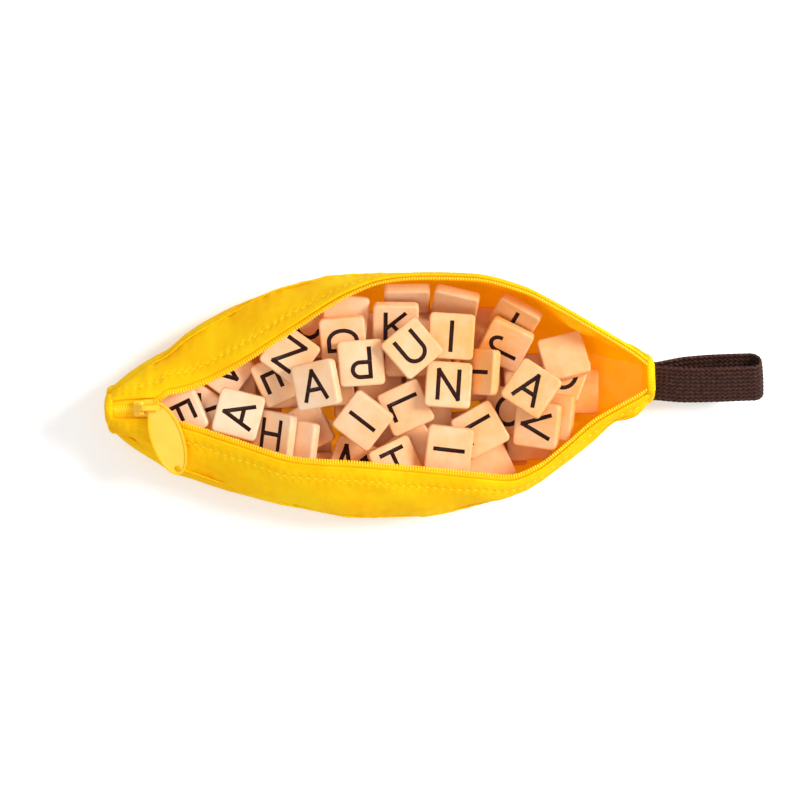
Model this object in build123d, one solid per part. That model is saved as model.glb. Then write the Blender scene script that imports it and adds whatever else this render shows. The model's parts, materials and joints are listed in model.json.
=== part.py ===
"""Travel word tile game case: a soft zip pouch, open and full of letter tiles.

Axes: X runs along the pouch, from the zip slider's end to the hang loop's end,
Y across it and Z up. The origin is the middle of the flat patch that the pouch
stands on. All sizes are millimetres and all angles degrees.
"""
from build123d import *
import math
import os

# ---------------------------------------------------------------- pouch body
rib_count = 23                # sections that the cloth is stretched over
rib_crowding = 0.5            # 0 spaces the ribs evenly, 1 crowds them at the tips
cloth_steps = 4               # straight stretches that a hidden bend of cloth is made of
pouch_length = 229.0          # tip to tip, without the hang loop
pouch_width = 104.0           # over the bulging sides
pouch_height = 46.0           # table to the highest stretch of the back rim
front_rim_drop = 4.0          # the front rim sags this much below the back rim
panel_thickness = 1.3         # canvas with its interfacing
base_thickness = 1.6
base_press = 0.5              # the base gives this much and lies flat
lining_thickness = 0.5
lining_seam = 2.0             # from the folded edge down to the lining's stitching
layer_gap = 0.2               # between sewn layers
end_cap_length = 2.6          # folded and bound cloth at each tip
fold_back = 3.0               # folded panel edge, measured back from the tooth tips
seam_height = 20.0            # where base and side panels are sewn together
seam_rise = 4.0               # the seam climbs this much towards the tips
tip_lift = 12.0               # the base curves up at the tips like a boat
flat_share = 0.57             # width of the flat patch against the width of the bulge

# --------------------------------------------------------------------- zip
tape_thickness = 0.6
tape_width = 12.0
tooth_pitch = 2.4
tooth_reach = 1.95            # how far a tooth stands out of its tape
tooth_neck = 0.7
tooth_head = 1.0
tooth_head_length = 0.7
tooth_thickness = 1.2
tooth_shoulder = 0.08         # slope from the neck to the head
tooth_to_tape = 0.15
tooth_mesh_gap = 0.05         # between the heads of the two meshed rows
tooth_tip_gap = 0.2           # the rim's line runs this far in front of the tips
zip_height = 33.5             # cloth at the closed stretch of the chain, above the table
zip_offset = -2.0             # the chain lies this far to the front of the middle
closed_stretch = 10.5         # interlocked teeth in front of the slider

slider_length = 8.4
slider_width = 7.4
slider_plate = 0.9
slider_gap = 2.2              # between the two plates
slider_flange = 0.5
slider_tail_share = 0.84      # the slider is narrower where the meshed chain leaves it
slider_corner = 1.4
flange_share = 0.5            # of the slider's length, from the tail on
flange_start = 1.2            # from the tail
flange_slit = 0.45            # between a flange and the tape that runs past it
slider_room = 0.5             # between the slider and the folded panel edges
divider_width = 1.4           # post between the plates that parts the teeth
divider_length = 2.4
divider_clearance = 0.35
ear_thickness = 1.2
ear_radius = 1.3
ear_height = 1.9              # link pin above the upper plate
link_pin_place = 3.4          # from the slider's tail
link_pin_diameter = 1.1
link_width = 2.1
link_thickness = 1.1
link_barrel = 2.3
link_side_gap = 0.25
link_reach = 6.8              # from the link pin to the tag
link_step = 2.7               # the link has climbed over the tag's edge by here
rivet_diameter = 1.4
rivet_head = 2.6
rivet_head_height = 0.5
bore_clearance = 0.3          # on the diameter of a bore round its pin
tag_length = 32.5
tag_width = 13.7
tag_thickness = 1.5
tag_rim_width = 1.0
tag_rim_height = 0.35
tag_hole = 2.7
tag_hole_inset = 2.6          # both holes, from the ends of the tag
tag_gap = 0.45                # least room between the tag and what lies under it
tag_turn = 13.6               # the tag points this much off the across direction
tag_slope = 18.0              # and lies down over the front lip this much

# --------------------------------------------------------------- hang loop
webbing_width = 19.5
webbing_thickness = 1.5
loop_reach = 45.0             # beyond the tip of the pouch
loop_opening = 6.9            # between the two layers at the round end
loop_tilt = 43.5              # the webbing lies back this much from upright
loop_height = 22.0            # middle of the webbing above the table
loop_offset = 0.8             # middle of the webbing behind the middle of the pouch
loop_root_gap = 0.95          # room in which the loop flexes at its root
tail_gap = 0.3                # round each sewn-in tail and between the two

# -------------------------------------------------------------------- tiles
tile_size = 19.0
tile_thickness = 4.6
tile_corner = 1.7
tile_gap = 0.32               # least room between two tiles
wall_gap = 0.9                # least room between a tile and the lining
lip_room = 4.0                # a tile this far below a rim still minds its teeth
tooth_room = 1.0              # least room between such a tile and the tooth tips
mouth_shares = [1 - 0.06 * step for step in range(9)]    # of its distance from the middle
bed_layers = 2
bed_pitch = 20.6              # from tile to tile in a layer of the bed
bed_reach = 92.0              # the bed ends this far from the middle
bed_slack = 3.5               # a tile of the bed may lie this much above its layer
shuffle_reach = 2.4           # a tile that shows may slip this far to lie lower
shuffle_rings = 3
shuffle_dislike = 0.6

# Tiles that show, lowest first: place in the heap, x, y, turn of the letter,
# the way that the face leans and how far it leans.
heap = [
    ("back_middle", 12.5, 43.0, -2, -92, 64),
    ("back_right", 30.5, 38.5, -14, -107, 56),
    ("c_back", -30.0, 30.5, 18, -62, 8),
    ("behind_d", -14.0, 34.5, -8, -97, 10),
    ("i_back", 57.5, 29.4, -32, -122, 52),
    ("under_u", 12.1, 16.2, -2, 88, 3),
    ("under_l", 13.6, -23.9, 33, -92, 4),
    ("under_i", 43.8, -30.9, 23, -62, 8),
    ("c_right", 53.3, -11.3, -12, 178, 4),
    ("o", 76.5, 4.0, -22, 93, 13),
    ("under_v", 69.5, -19.5, -99, 188, 22),
    ("d", -14.4, 23.4, 92, -94, 16),
    ("k", 7.7, 28.9, -3, -92, 30),
    ("j", 54.2, 20.8, -119, -115, 28),
    ("edge", 75.0, 15.5, 12, 102, 20),
    ("plain_a", -31.5, -13.0, 24, 203, 10),
    ("under_h", -35.6, -19.0, -11, 179, 30),
    ("h", -42.3, -15.0, -11, 179, 32),
    ("x_left", -75.0, -4.5, -37, 198, 10),
    ("v_left", -66.0, 12.4, 50, -62, 5),
    ("f_left", -81.5, -7.0, 23, 193, 12),
    ("e", -43.0, 6.0, -68, -72, 4),
    ("z", -37.0, 19.0, -38, -122, 4),
    ("a_left", -59.0, -6.0, 73, -102, 5),
    ("p", -7.3, 13.1, 182, -2, 3),
    ("i_steep", 44.0, 7.5, 84, 174, 42),
    ("m", -13.6, -26.0, -24, -112, 8),
    ("t_front", 5.5, -29.5, 23, -2, 12),
    ("l", 11.3, -7.4, -68, -152, 4),
    ("l_right", 41.0, -16.6, -63, -152, 4),
    ("i_upper", 32.9, 22.8, -6, -92, 3),
    ("n", 30.9, 2.6, -6, 88, 4),
    ("u", 14.0, 18.2, 38, 98, 3),
    ("i_centre", -5.6, -9.1, 50, -132, 11),
    ("a_steep", -25.8, 4.8, 9, 186, 24),
    ("v_right", 64.0, -16.8, -99, 188, 22),
    ("a_right", 61.8, -0.3, -36, 143, 12),
    ("i_front", 27.7, -23.9, 81, -99, 10),
]
plain_places = ("under_u", "under_l", "under_i", "behind_d", "back_middle", "back_right",
                "edge", "under_v", "plain_a", "under_h")

# The outline of the pouch as seen from above: shares of the half length along,
# shares of the half width out. The sides and the rims are separate curves.
front_side = [(-0.978, 0.219), (-0.926, 0.320), (-0.830, 0.471), (-0.769, 0.570),
              (-0.699, 0.629), (-0.524, 0.771), (-0.306, 0.898), (-0.087, 0.992),
              (0.131, 1.000), (0.349, 0.923), (0.524, 0.815), (0.655, 0.635),
              (0.769, 0.452), (0.856, 0.298), (0.926, 0.260), (0.978, 0.154)]
back_side = [(-0.978, 0.142), (-0.926, 0.225), (-0.830, 0.369), (-0.769, 0.440),
             (-0.699, 0.560), (-0.524, 0.752), (-0.306, 0.913), (-0.087, 0.979),
             (0.131, 0.967), (0.349, 0.931), (0.524, 0.819), (0.655, 0.663),
             (0.769, 0.494), (0.856, 0.371), (0.926, 0.312), (0.978, 0.227)]
front_rim = [(-0.769, -0.127), (-0.699, -0.176), (-0.524, -0.317), (-0.306, -0.475),
             (-0.087, -0.525), (0.131, -0.585), (0.349, -0.656), (0.463, -0.690),
             (0.560, -0.625), (0.655, -0.487), (0.769, -0.292), (0.856, -0.192),
             (0.926, -0.115), (0.978, -0.054)]
back_rim = [(-0.769, 0.046), (-0.699, 0.077), (-0.524, 0.237), (-0.306, 0.523),
            (-0.087, 0.812), (0.035, 0.905), (0.131, 0.925), (0.349, 0.900),
            (0.524, 0.794), (0.655, 0.638), (0.769, 0.481), (0.856, 0.358),
            (0.926, 0.250), (0.978, 0.154)]
# How steeply each lip stands at its rim: 0 lies flat inwards, 90 is upright.
front_lean = [(-0.978, 0), (-0.812, 0), (-0.720, 22), (-0.524, 20), (-0.087, 14), (0.349, 18),
              (0.524, 38), (0.655, 52), (0.926, 56), (0.978, 56)]
back_lean = [(-0.978, 0), (-0.812, 0), (-0.720, 8), (-0.524, 16), (-0.306, 34), (-0.087, 62),
             (0.131, 80), (0.524, 78), (0.769, 72), (0.926, 64), (0.978, 60)]

half_length = pouch_length / 2
half_width = pouch_width / 2
body_end = half_length - end_cap_length
FRONT, BACK = -1, 1

closed_end = -body_end + closed_stretch
slider_tail = closed_end - slider_flange
slider_nose = slider_tail + slider_length
parted_end = slider_nose - divider_length
tooth_parting = divider_width / 2 + divider_clearance


def through(knots, x):
    """Smooth curve through (x, value) knots that never swings past a knot."""
    if x <= knots[0][0]:
        return knots[0][1]
    if x >= knots[-1][0]:
        return knots[-1][1]
    steps = [(b[1] - a[1]) / (b[0] - a[0]) for a, b in zip(knots, knots[1:])]
    slopes = [steps[0]]
    for left, right in zip(steps, steps[1:]):
        slopes.append(0.0 if left * right <= 0 else 2 * left * right / (left + right))
    slopes.append(steps[-1])
    i = max(k for k in range(len(steps)) if knots[k][0] <= x)
    (xa, ya), (xb, yb) = knots[i], knots[i + 1]
    width = xb - xa
    t = (x - xa) / width
    return ((2 * t**3 - 3 * t**2 + 1) * ya + (t**3 - 2 * t**2 + t) * width * slopes[i]
            + (3 * t**2 - 2 * t**3) * yb + (t**3 - t**2) * width * slopes[i + 1])


def side_out(x, side):
    """Distance of the widest point of one side from the middle."""
    outline = front_side if side == FRONT else back_side
    return half_width * through(outline, x / half_length)


def rim_y(x, side):
    """Y of the tooth tips of one side, from the closed chain to the other tip."""
    shares = front_rim if side == FRONT else back_rim
    meshed = zip_offset - side * (tooth_head_length + tooth_mesh_gap + tooth_tip_gap)
    run = [(-half_length, meshed), (closed_end, meshed),
           (parted_end, zip_offset + side * tooth_parting),
           (slider_nose, zip_offset + side * tooth_parting)]
    run += [(share * half_length, out * half_width) for share, out in shares]
    return through(run, x)


def rim_z(x, side):
    """Height of one rim: level at the slider, highest in the middle."""
    top = pouch_height - (front_rim_drop if side == FRONT else 0.0)
    return through([(-half_length, zip_height), (slider_nose, zip_height),
                    (-0.68 * half_length, 0.95 * zip_height + 0.05 * top),
                    (-0.38 * half_length, 0.3 * zip_height + 0.7 * top),
                    (-0.05 * half_length, top), (0.2 * half_length, top),
                    (0.65 * half_length, 0.5 * zip_height + 0.5 * top),
                    (half_length, zip_height)], x)


def seam_z(x):
    return seam_height + seam_rise * abs(x / half_length) ** 3


def keel_z(x):
    """Height of the bottom: below the table by what the base gives, up at the tips."""
    end_share = max(0.0, (abs(x) / half_length - 0.5) / 0.5)
    return tip_lift * end_share**1.7 - base_press


def flat_out(x, side):
    return flat_share * side_out(x, side)


class Lip:
    """The arc of one side panel in the plane at x, from seam to rim.

    It works in (inward, z), where inward grows from the side towards the middle.
    """

    def __init__(self, x, side):
        self.x, self.side = x, side
        inset = through([(-half_length, 3.4), (-0.6 * half_length, 3.0),
                         (-0.35 * half_length, 0.8), (half_length, 0.6)], x)
        self.seam = (-side_out(x, side) + inset, seam_z(x))
        self.rim = (-side * rim_y(x, side), rim_z(x, side))
        leans = front_lean if side == FRONT else back_lean
        self.lean = math.radians(through(leans, x / half_length))
        rise = self.rim[1] - self.seam[1]
        run = self.rim[0] - self.seam[0]
        chord = math.hypot(run, rise)
        half_turn = max(math.atan2(rise, run) - self.lean, math.radians(1.0))
        self.lean = math.atan2(rise, run) - half_turn
        self.radius = chord / (2 * math.sin(half_turn))
        self.length = self.radius * 2 * half_turn
        self.centre = (self.rim[0] + self.radius * math.sin(self.lean),
                       self.rim[1] - self.radius * math.cos(self.lean))

    def point(self, back, depth):
        """Point that lies back along the arc from the rim and depth inside it."""
        angle = self.lean + back / self.radius
        reach = self.radius - depth
        inward = self.centre[0] - reach * math.sin(angle)
        return Vector(self.x, -self.side * inward, self.centre[1] + reach * math.cos(angle))

    def inside(self, length, depth):
        """Stretch of the outer arc above one that is this long at a depth."""
        return length * self.radius / (self.radius - depth)

    def arc(self, back_a, back_b, depth):
        return Edge.make_three_point_arc(self.point(back_a, depth),
                                         self.point((back_a + back_b) / 2, depth),
                                         self.point(back_b, depth))

    def inner_y(self, z, depth):
        """Y of the inside of the lip at one height, or None above its rim."""
        reach = self.radius - depth
        rise = z - self.centre[1]
        if z > self.rim[1] or abs(rise) >= reach:
            return None
        return -self.side * (self.centre[0] - math.sqrt(reach**2 - rise**2))


def base_points(x, side, depth):
    """Seam, widest and flat-edge points of the base in the plane at x."""
    lip = Lip(x, side)
    out = side_out(x, side)
    widest_z = keel_z(x) + 0.72 * (seam_z(x) - keel_z(x))
    return (lip.point(lip.length, depth),
            Vector(x, side * (out - depth), widest_z),
            Vector(x, side * flat_out(x, side), keel_z(x) + depth))


def base_arc(x, side, depth):
    return Edge.make_three_point_arc(*base_points(x, side, depth))


def closed_wire(edges):
    """Join edges end to start with straight lines and close the loop."""
    ring = []
    for edge, following in zip(edges, edges[1:] + edges[:1]):
        ring.append(edge)
        if (edge @ 1 - following @ 0).length > 1e-6:
            ring.append(Edge.make_line(edge @ 1, following @ 0))
    return Wire(ring)


def reverse_arc(edge):
    return Edge.make_three_point_arc(edge @ 1, edge @ 0.5, edge @ 0)


def chords(edges):
    """Straight stretches of cloth that share their ends with each curved edge."""
    lines = []
    for edge in edges:
        steps = 1 if edge.geom_type == GeomType.LINE else cloth_steps
        ends = [edge @ (i / steps) for i in range(steps + 1)]
        lines += [Edge.make_line(a, b) for a, b in zip(ends, ends[1:])]
    return lines


def stations(reach, count):
    """Places along the pouch, closer together towards both tips."""
    shares = [i / (count - 1) for i in range(count)]
    return [-reach * ((1 - rib_crowding) * (1 - 2 * share)
                      + rib_crowding * math.cos(math.pi * share)) for share in shares]


ribs = [x for x in stations(body_end, rib_count) if not closed_end - 3 < x < parted_end + 3]
ribs = sorted([*ribs, closed_end, parted_end])


def stretched(sections):
    """Cloth stretched straight from one rib's section to the next."""
    return Solid.make_loft(sections, ruled=True)


def fold(x, side):
    """Distance of the folded panel edge from the tooth tips, wider beside the slider."""
    reach = side * (rim_y(x, side) - zip_offset)
    return max(fold_back, slider_width / 2 + slider_room - reach)


def side_panel(side):
    """Canvas side from the base seam to the folded edge at the zip."""
    sections = []
    for x in ribs:
        lip = Lip(x, side)
        sections.append(closed_wire([lip.arc(lip.length, fold(x, side), 0.0),
                                     lip.arc(fold(x, side), lip.length, panel_thickness)]))
    return stretched(sections)


def base_outline(x, depth):
    front = base_arc(x, FRONT, depth)
    back = base_arc(x, BACK, depth)
    return [front, Edge.make_line(front @ 1, back @ 1), reverse_arc(back)]


def base_panel():
    """Bottom gusset, pressed flat where it stands on the table."""
    sections = []
    for x in ribs:
        outside = base_outline(x, 0.0)
        inside = base_outline(x, base_thickness)
        returning = [Edge.make_line(line @ 1, line @ 0) for line in reversed(chords(inside))]
        sections.append(closed_wire([*outside, *returning]))
    table = Box(2 * pouch_length, 2 * pouch_width, pouch_height).translate(
        Vector(0, 0, -pouch_height / 2))
    return stretched(sections) - table


tape_depth = panel_thickness + layer_gap
tooth_depth = tape_depth + tape_thickness / 2
lining_depth = tape_depth + tape_thickness + layer_gap


def lining():
    """Thin inner bag, sewn in under the zip tapes."""
    top = fold_back + lining_seam
    sections = []
    for x in ribs[1:-1]:
        loops = []
        for depth in (lining_depth, lining_depth + lining_thickness):
            front, back = Lip(x, FRONT), Lip(x, BACK)
            loops.append([front.arc(top, front.length, depth), *base_outline(x, depth),
                          back.arc(back.length, top, depth)])
        outside, inside = (chords(loop) for loop in loops)
        returning = [Edge.make_line(line @ 1, line @ 0) for line in reversed(inside)]
        sections.append(closed_wire([*outside, *returning]))
    return stretched(sections)


def zip_tape(side):
    """Woven tape sewn under the folded edge of one panel, teeth along its free edge."""
    near, far = tape_depth, tape_depth + tape_thickness
    sections = []
    for x in ribs:
        lip = Lip(x, side)
        end = min(tape_width, 0.8 * lip.length)
        edge = lip.inside(tooth_reach, tooth_depth)
        sections.append(closed_wire([lip.arc(end, edge, near), lip.arc(edge, end, far)]))
    return stretched(sections)


def tooth_frame(x, side):
    """Foot of a tooth on the stretched tape at x, the tape's run and the tooth's way."""
    left, right = next(pair for pair in zip(ribs, ribs[1:]) if pair[0] <= x <= pair[1])
    feet, tips = [], []
    for rib in (left, right):
        lip = Lip(rib, side)
        feet.append(lip.point(lip.inside(tooth_reach, tooth_depth), tooth_depth))
        tips.append(lip.point(0.0, tooth_depth))
    share = (x - left) / (right - left)
    foot = feet[0] + (feet[1] - feet[0]) * share
    tip = tips[0] + (tips[1] - tips[0]) * share
    return foot, (feet[1] - feet[0]).normalized(), (tip - foot).normalized()


def zip_tooth():
    """One tooth with a straight neck and a wider head, standing along +Y."""
    neck, head = tooth_neck / 2, tooth_head / 2
    tip = tooth_reach - tooth_tip_gap
    shoulder = tip - tooth_head_length
    outline = Polyline((-neck, tooth_to_tape), (neck, tooth_to_tape), (neck, shoulder - tooth_shoulder),
                       (head, shoulder), (head, tip), (-head, tip),
                       (-head, shoulder), (-neck, shoulder - tooth_shoulder), close=True)
    return extrude(make_face(outline), tooth_thickness / 2, both=True)


def zip_teeth(side):
    """Row of teeth set out along one rim, the two rows half a pitch apart."""
    tooth = zip_tooth()
    x = -body_end + (0.75 if side == FRONT else 1.25) * tooth_pitch
    row = []
    while x < body_end - tooth_pitch / 2:
        foot, run, pointing = tooth_frame(x, side)
        across = run.cross(pointing).normalized()
        along = pointing.cross(across)
        row.append(Plane(origin=foot, x_dir=along, z_dir=across).location * tooth)
        x += tooth_pitch * run.X
    return Compound(children=row)


# ------------------------------------------------------------------ slider and pull
slider_middle = (slider_tail + slider_nose) / 2
chain_z = zip_height - tooth_depth
plate_top = chain_z + slider_gap / 2 + slider_plate
link_pin_x = slider_tail + link_pin_place
link_pin_z = plate_top + ear_height
tag_pivot_x = link_pin_x + link_reach


def slider_body():
    """Two plates joined by the divider at the nose, with two ears for the link."""
    nose_half, tail_half = slider_width / 2, slider_tail_share * slider_width / 2
    plan = Polyline((slider_tail, zip_offset - tail_half), (slider_nose, zip_offset - nose_half),
                    (slider_nose, zip_offset + nose_half), (slider_tail, zip_offset + tail_half),
                    close=True)
    outline = make_face(plan)
    outline = fillet(outline.vertices(), slider_corner)
    body = Part()
    for way in (-1, 1):
        plate = extrude(outline, slider_plate).translate(
            Vector(0, 0, chain_z + (slider_gap / 2 if way > 0 else -slider_gap / 2 - slider_plate)))
        body += plate
        slit = tape_thickness / 2 + flange_slit
        height = slider_gap / 2 - slit
        length = flange_share * slider_length
        for side in (FRONT, BACK):
            y = zip_offset + side * (tail_half - slider_flange / 2)
            flange = Box(length, slider_flange, height).translate(
                Vector(slider_tail + flange_start + length / 2, y, chain_z + way * (slit + height / 2)))
            body += flange
    post = SlotOverall(divider_length, divider_width)
    post = extrude(post, (slider_gap + slider_plate) / 2, both=True).translate(
        Vector(slider_nose - divider_length / 2, zip_offset, chain_z))
    body += post
    for side in (FRONT, BACK):
        y = zip_offset + side * (link_width / 2 + link_side_gap + ear_thickness / 2)
        ear = Cylinder(ear_radius, ear_thickness, rotation=(90, 0, 0)).translate(
            Vector(link_pin_x, y, link_pin_z))
        ear += Box(2 * ear_radius, ear_thickness, ear_height + slider_plate / 2).translate(
            Vector(link_pin_x, y, link_pin_z - (ear_height + slider_plate / 2) / 2))
        body += ear
    bore = Cylinder(link_pin_diameter / 2, 3 * slider_width, rotation=(90, 0, 0))
    return body - bore.translate(Vector(link_pin_x, zip_offset, link_pin_z))


def link_pin():
    span = link_width + 2 * (link_side_gap + ear_thickness)
    return Cylinder(link_pin_diameter / 2, span, rotation=(90, 0, 0)).translate(
        Vector(link_pin_x, zip_offset, link_pin_z))


def tag_plane():
    """Plane of the tag's underside: origin at its upper hole, X along the tag."""
    down = math.radians(tag_slope)
    turn = math.radians(tag_turn)
    fall = Vector(0, -math.cos(down), -math.sin(down))
    along = Vector(1, 0, 0) * math.sin(turn) + fall * math.cos(turn)
    normal = Vector(0, -math.sin(down), math.cos(down))
    return Plane(origin=(tag_pivot_x, zip_offset, tag_seat()), x_dir=along, z_dir=normal)


def tag_outline_point(share, spread):
    """Point of the tag's plan in the pouch frame, before its height is known."""
    down, turn = math.radians(tag_slope), math.radians(tag_turn)
    along = tag_length / 2 * (1 + math.cos(share)) - tag_hole_inset
    across = spread * tag_width / 2 * math.sin(share)
    x = tag_pivot_x + along * math.sin(turn) - across * math.cos(turn)
    y_in_plane = -along * math.cos(turn) - across * math.sin(turn)
    return x, zip_offset + y_in_plane * math.cos(down), y_in_plane * math.sin(down)


def cloth_top(x, y):
    """Height of the outside of the pouch at (x, y), or of the slider where it lies over it."""
    if slider_tail < x < slider_nose and abs(y - zip_offset) < slider_width / 2:
        return plate_top
    side = FRONT if y < zip_offset else BACK
    lip = Lip(x, side)
    inward = -side * y
    inward = min(max(inward, lip.seam[0]), lip.rim[0])
    return lip.centre[1] + math.sqrt(max(0.0, lip.radius**2 - (inward - lip.centre[0]) ** 2))


def tag_seat():
    """Height of the tag's underside at its upper hole, so that it clears the cloth."""
    heights = []
    for i in range(72):
        for spread in (0.3, 0.65, 1.0):
            x, y, rise = tag_outline_point(math.radians(5 * i), spread)
            if y > -side_out(x, FRONT):
                heights.append(cloth_top(x, y) - rise)
    return max(heights) + tag_gap / math.cos(math.radians(tag_slope))


def pull_tag():
    """Oval moulded tag with a raised rim, a hole for the rivet and one at the end."""
    middle = Pos(tag_length / 2 - tag_hole_inset, 0)
    oval = Ellipse(tag_length / 2, tag_width / 2)
    field = Ellipse(tag_length / 2 - tag_rim_width, tag_width / 2 - tag_rim_width)
    tag = extrude(middle * oval, tag_thickness + tag_rim_height)
    tag -= Pos(0, 0, tag_thickness) * extrude(middle * field, 2 * tag_rim_height)
    tag -= Cylinder((rivet_diameter + bore_clearance) / 2, 4 * tag_thickness)
    tag -= Pos(tag_length - 2 * tag_hole_inset, 0) * Cylinder(tag_hole / 2, 4 * tag_thickness)
    return tag_plane().location * tag


def pull_link():
    """Stamped link: a barrel on its pin, an arm over the tag's edge and the rivet."""
    seat = tag_plane()
    top = seat.origin + seat.z_dir * (tag_thickness + tag_rim_height + bore_clearance)
    arm_z = top.Z + link_thickness / 2 + rivet_head / 2 * math.tan(math.radians(tag_slope))
    arm = FilletPolyline((link_pin_x, link_pin_z), (link_pin_x + 0.35 * link_step, arm_z - 0.4),
                         (link_pin_x + link_step, arm_z), (tag_pivot_x, arm_z), radius=0.5)
    upright = Plane(origin=(0, zip_offset, 0), x_dir=(1, 0, 0), z_dir=(0, -1, 0))
    strip = offset(arm, link_thickness / 2, side=Side.BOTH)
    strip = make_face(strip) if not strip.faces() else strip
    link = upright.location * extrude(strip, link_width / 2, both=True)
    barrel = Cylinder(link_barrel / 2, link_width, rotation=(90, 0, 0)).translate(
        Vector(link_pin_x, zip_offset, link_pin_z))
    bore = Cylinder((link_pin_diameter + bore_clearance) / 2, 2 * link_width, rotation=(90, 0, 0))
    link = link + barrel - bore.translate(Vector(link_pin_x, zip_offset, link_pin_z))
    boss = Cylinder(rivet_head / 2, link_thickness).translate(
        Vector(tag_pivot_x, zip_offset, arm_z))
    reach = (arm_z - seat.origin.Z) / seat.z_dir.Z
    shank = seat.location * Cylinder(rivet_diameter / 2, reach + bore_clearance,
                                     align=(Align.CENTER, Align.CENTER, Align.MIN))
    shank = shank.translate(seat.z_dir * -bore_clearance)
    head = seat.location * Cylinder(rivet_head / 2, rivet_head_height,
                                    align=(Align.CENTER, Align.CENTER, Align.MAX))
    head = head.translate(seat.z_dir * -bore_clearance)
    return link + boss + shank + head



# ------------------------------------------------------------- tips and hang loop
def full_outline(x, depth):
    """Closed outline of the pouch in the plane at x, with the mouth bridged."""
    front_lip, back_lip = (Lip(x, side).arc(fold_back, Lip(x, side).length, depth)
                           for side in (FRONT, BACK))
    front_base, back_base = (base_arc(x, side, depth) for side in (FRONT, BACK))
    return Wire([reverse_arc(front_lip), Edge.make_line(front_lip @ 0, back_lip @ 0), back_lip,
                 back_base, Edge.make_line(back_base @ 1, front_base @ 1),
                 reverse_arc(front_base)])


def end_cap(x, way):
    """Folded and bound cloth that closes one tip, rounded off outwards."""
    sections = [full_outline(x, depth).translate(Vector(way * reach * end_cap_length, 0, 0))
                for reach, depth in ((layer_gap, 0.0), (0.6, 0.35), (1.0, 1.6))]
    return stretched(sections)


def loop_plane(x):
    """Plane across the webbing: X along the pouch, Z along the webbing's width."""
    back = math.radians(90 - loop_tilt)
    return Plane(origin=(x, loop_offset, loop_height), x_dir=(1, 0, 0),
                 z_dir=(0, math.sin(back), math.cos(back)))


def hang_loop():
    """Band of webbing folded into a loop, with its two layers together at the seam."""
    root = webbing_thickness + tail_gap / 4
    belly = loop_opening / 2 + webbing_thickness
    end = loop_reach
    outside = [(0, root), (0.30 * end, 0.80 * belly), (end - belly, belly), (end, 0)]
    inside = [(0, tail_gap / 4), (0.30 * end, 0.80 * belly - webbing_thickness),
              (end - belly, belly - webbing_thickness), (end - webbing_thickness, 0)]
    edges = []
    for knots, forward in ((outside, True), (inside, False)):
        start, swell, shoulder, tip = knots
        upper = [ThreePointArc(start, (0.14 * end, 0.5 * (start[1] + swell[1]) + 0.6), swell),
                 Line(swell, shoulder)]
        reach = tip[0] - shoulder[0]
        turn = (shoulder[0] + reach * math.sin(math.radians(45)),
                shoulder[1] * math.cos(math.radians(45)))
        upper.append(ThreePointArc(shoulder, turn, tip))
        edges.append(upper)
    profile = Curve() + edges[0] + edges[1]
    lower = mirror(profile, about=Plane.XZ)
    ring = profile + lower
    ring += Line(outside[0], inside[0])
    ring += mirror(Line(outside[0], inside[0]), about=Plane.XZ)
    faces = make_face(ring.edges())
    band = extrude(faces, webbing_width / 2, both=True)
    return loop_plane(half_length + loop_root_gap).location * band


def loop_tails():
    """Both ends of the webbing, sewn into the end of the pouch."""
    tails = []
    length = end_cap_length - tail_gap
    for way in (-1, 1):
        y = way * (webbing_thickness / 2 + tail_gap / 4)
        tail = Box(length, webbing_thickness, webbing_width).translate(Vector(-length / 2, y, 0))
        tails.append(loop_plane(half_length).location * tail)
    return Compound(children=tails)


def right_end_cap():
    slot = Box(4 * end_cap_length, 2 * webbing_thickness + 2 * tail_gap, webbing_width + tail_gap)
    return end_cap(body_end, 1) - loop_plane(half_length).location * slot



class Block:
    """Room that one tile takes: a box with a centre, three axes and half sizes."""

    halves = (tile_size / 2, tile_size / 2, tile_thickness / 2)

    def __init__(self, x, y, turn, lean_way, lean):
        away, tip, spin = (math.radians(a) for a in (lean_way, lean, turn - lean_way))
        toward = Vector(math.cos(away), math.sin(away), 0)
        beside = Vector(-math.sin(away), math.cos(away), 0)
        leaned = toward * math.cos(tip) - Vector(0, 0, math.sin(tip))
        normal = toward * math.sin(tip) + Vector(0, 0, math.cos(tip))
        self.axes = (leaned * math.cos(spin) + beside * math.sin(spin),
                     beside * math.cos(spin) - leaned * math.sin(spin), normal)
        self.centre = Vector(x, y, 0)

    def corners(self):
        size, depth = self.halves[0], self.halves[2]
        return [self.centre + self.axes[0] * (a * size) + self.axes[1] * (b * size)
                + self.axes[2] * (c * depth)
                for a in (-1, 1) for b in (-1, 1) for c in (-1, 1)]

    def half_across(self, axis):
        return sum(half * abs(axis.dot(own)) for half, own in zip(self.halves, self.axes))

    def stop_above(self, other):
        """Lowest height at which this block, coming from above, clears the other."""
        low, high = -math.inf, math.inf
        axes = [*self.axes, *other.axes]
        axes += [cross.normalized() for a in self.axes for b in other.axes
                 if (cross := a.cross(b)).length > 1e-3]
        level = Vector(self.centre.X - other.centre.X, self.centre.Y - other.centre.Y,
                       -other.centre.Z)
        for axis in axes:
            room = self.half_across(axis) + other.half_across(axis) + tile_gap
            start = axis.dot(level)
            if abs(axis.Z) < 1e-9:
                if abs(start) >= room:
                    return -math.inf
                continue
            ends = sorted(((-room - start) / axis.Z, (room - start) / axis.Z))
            low, high = max(low, ends[0]), min(high, ends[1])
            if low >= high:
                return -math.inf
        return high


inner_depth = lining_depth + lining_thickness + wall_gap


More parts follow.
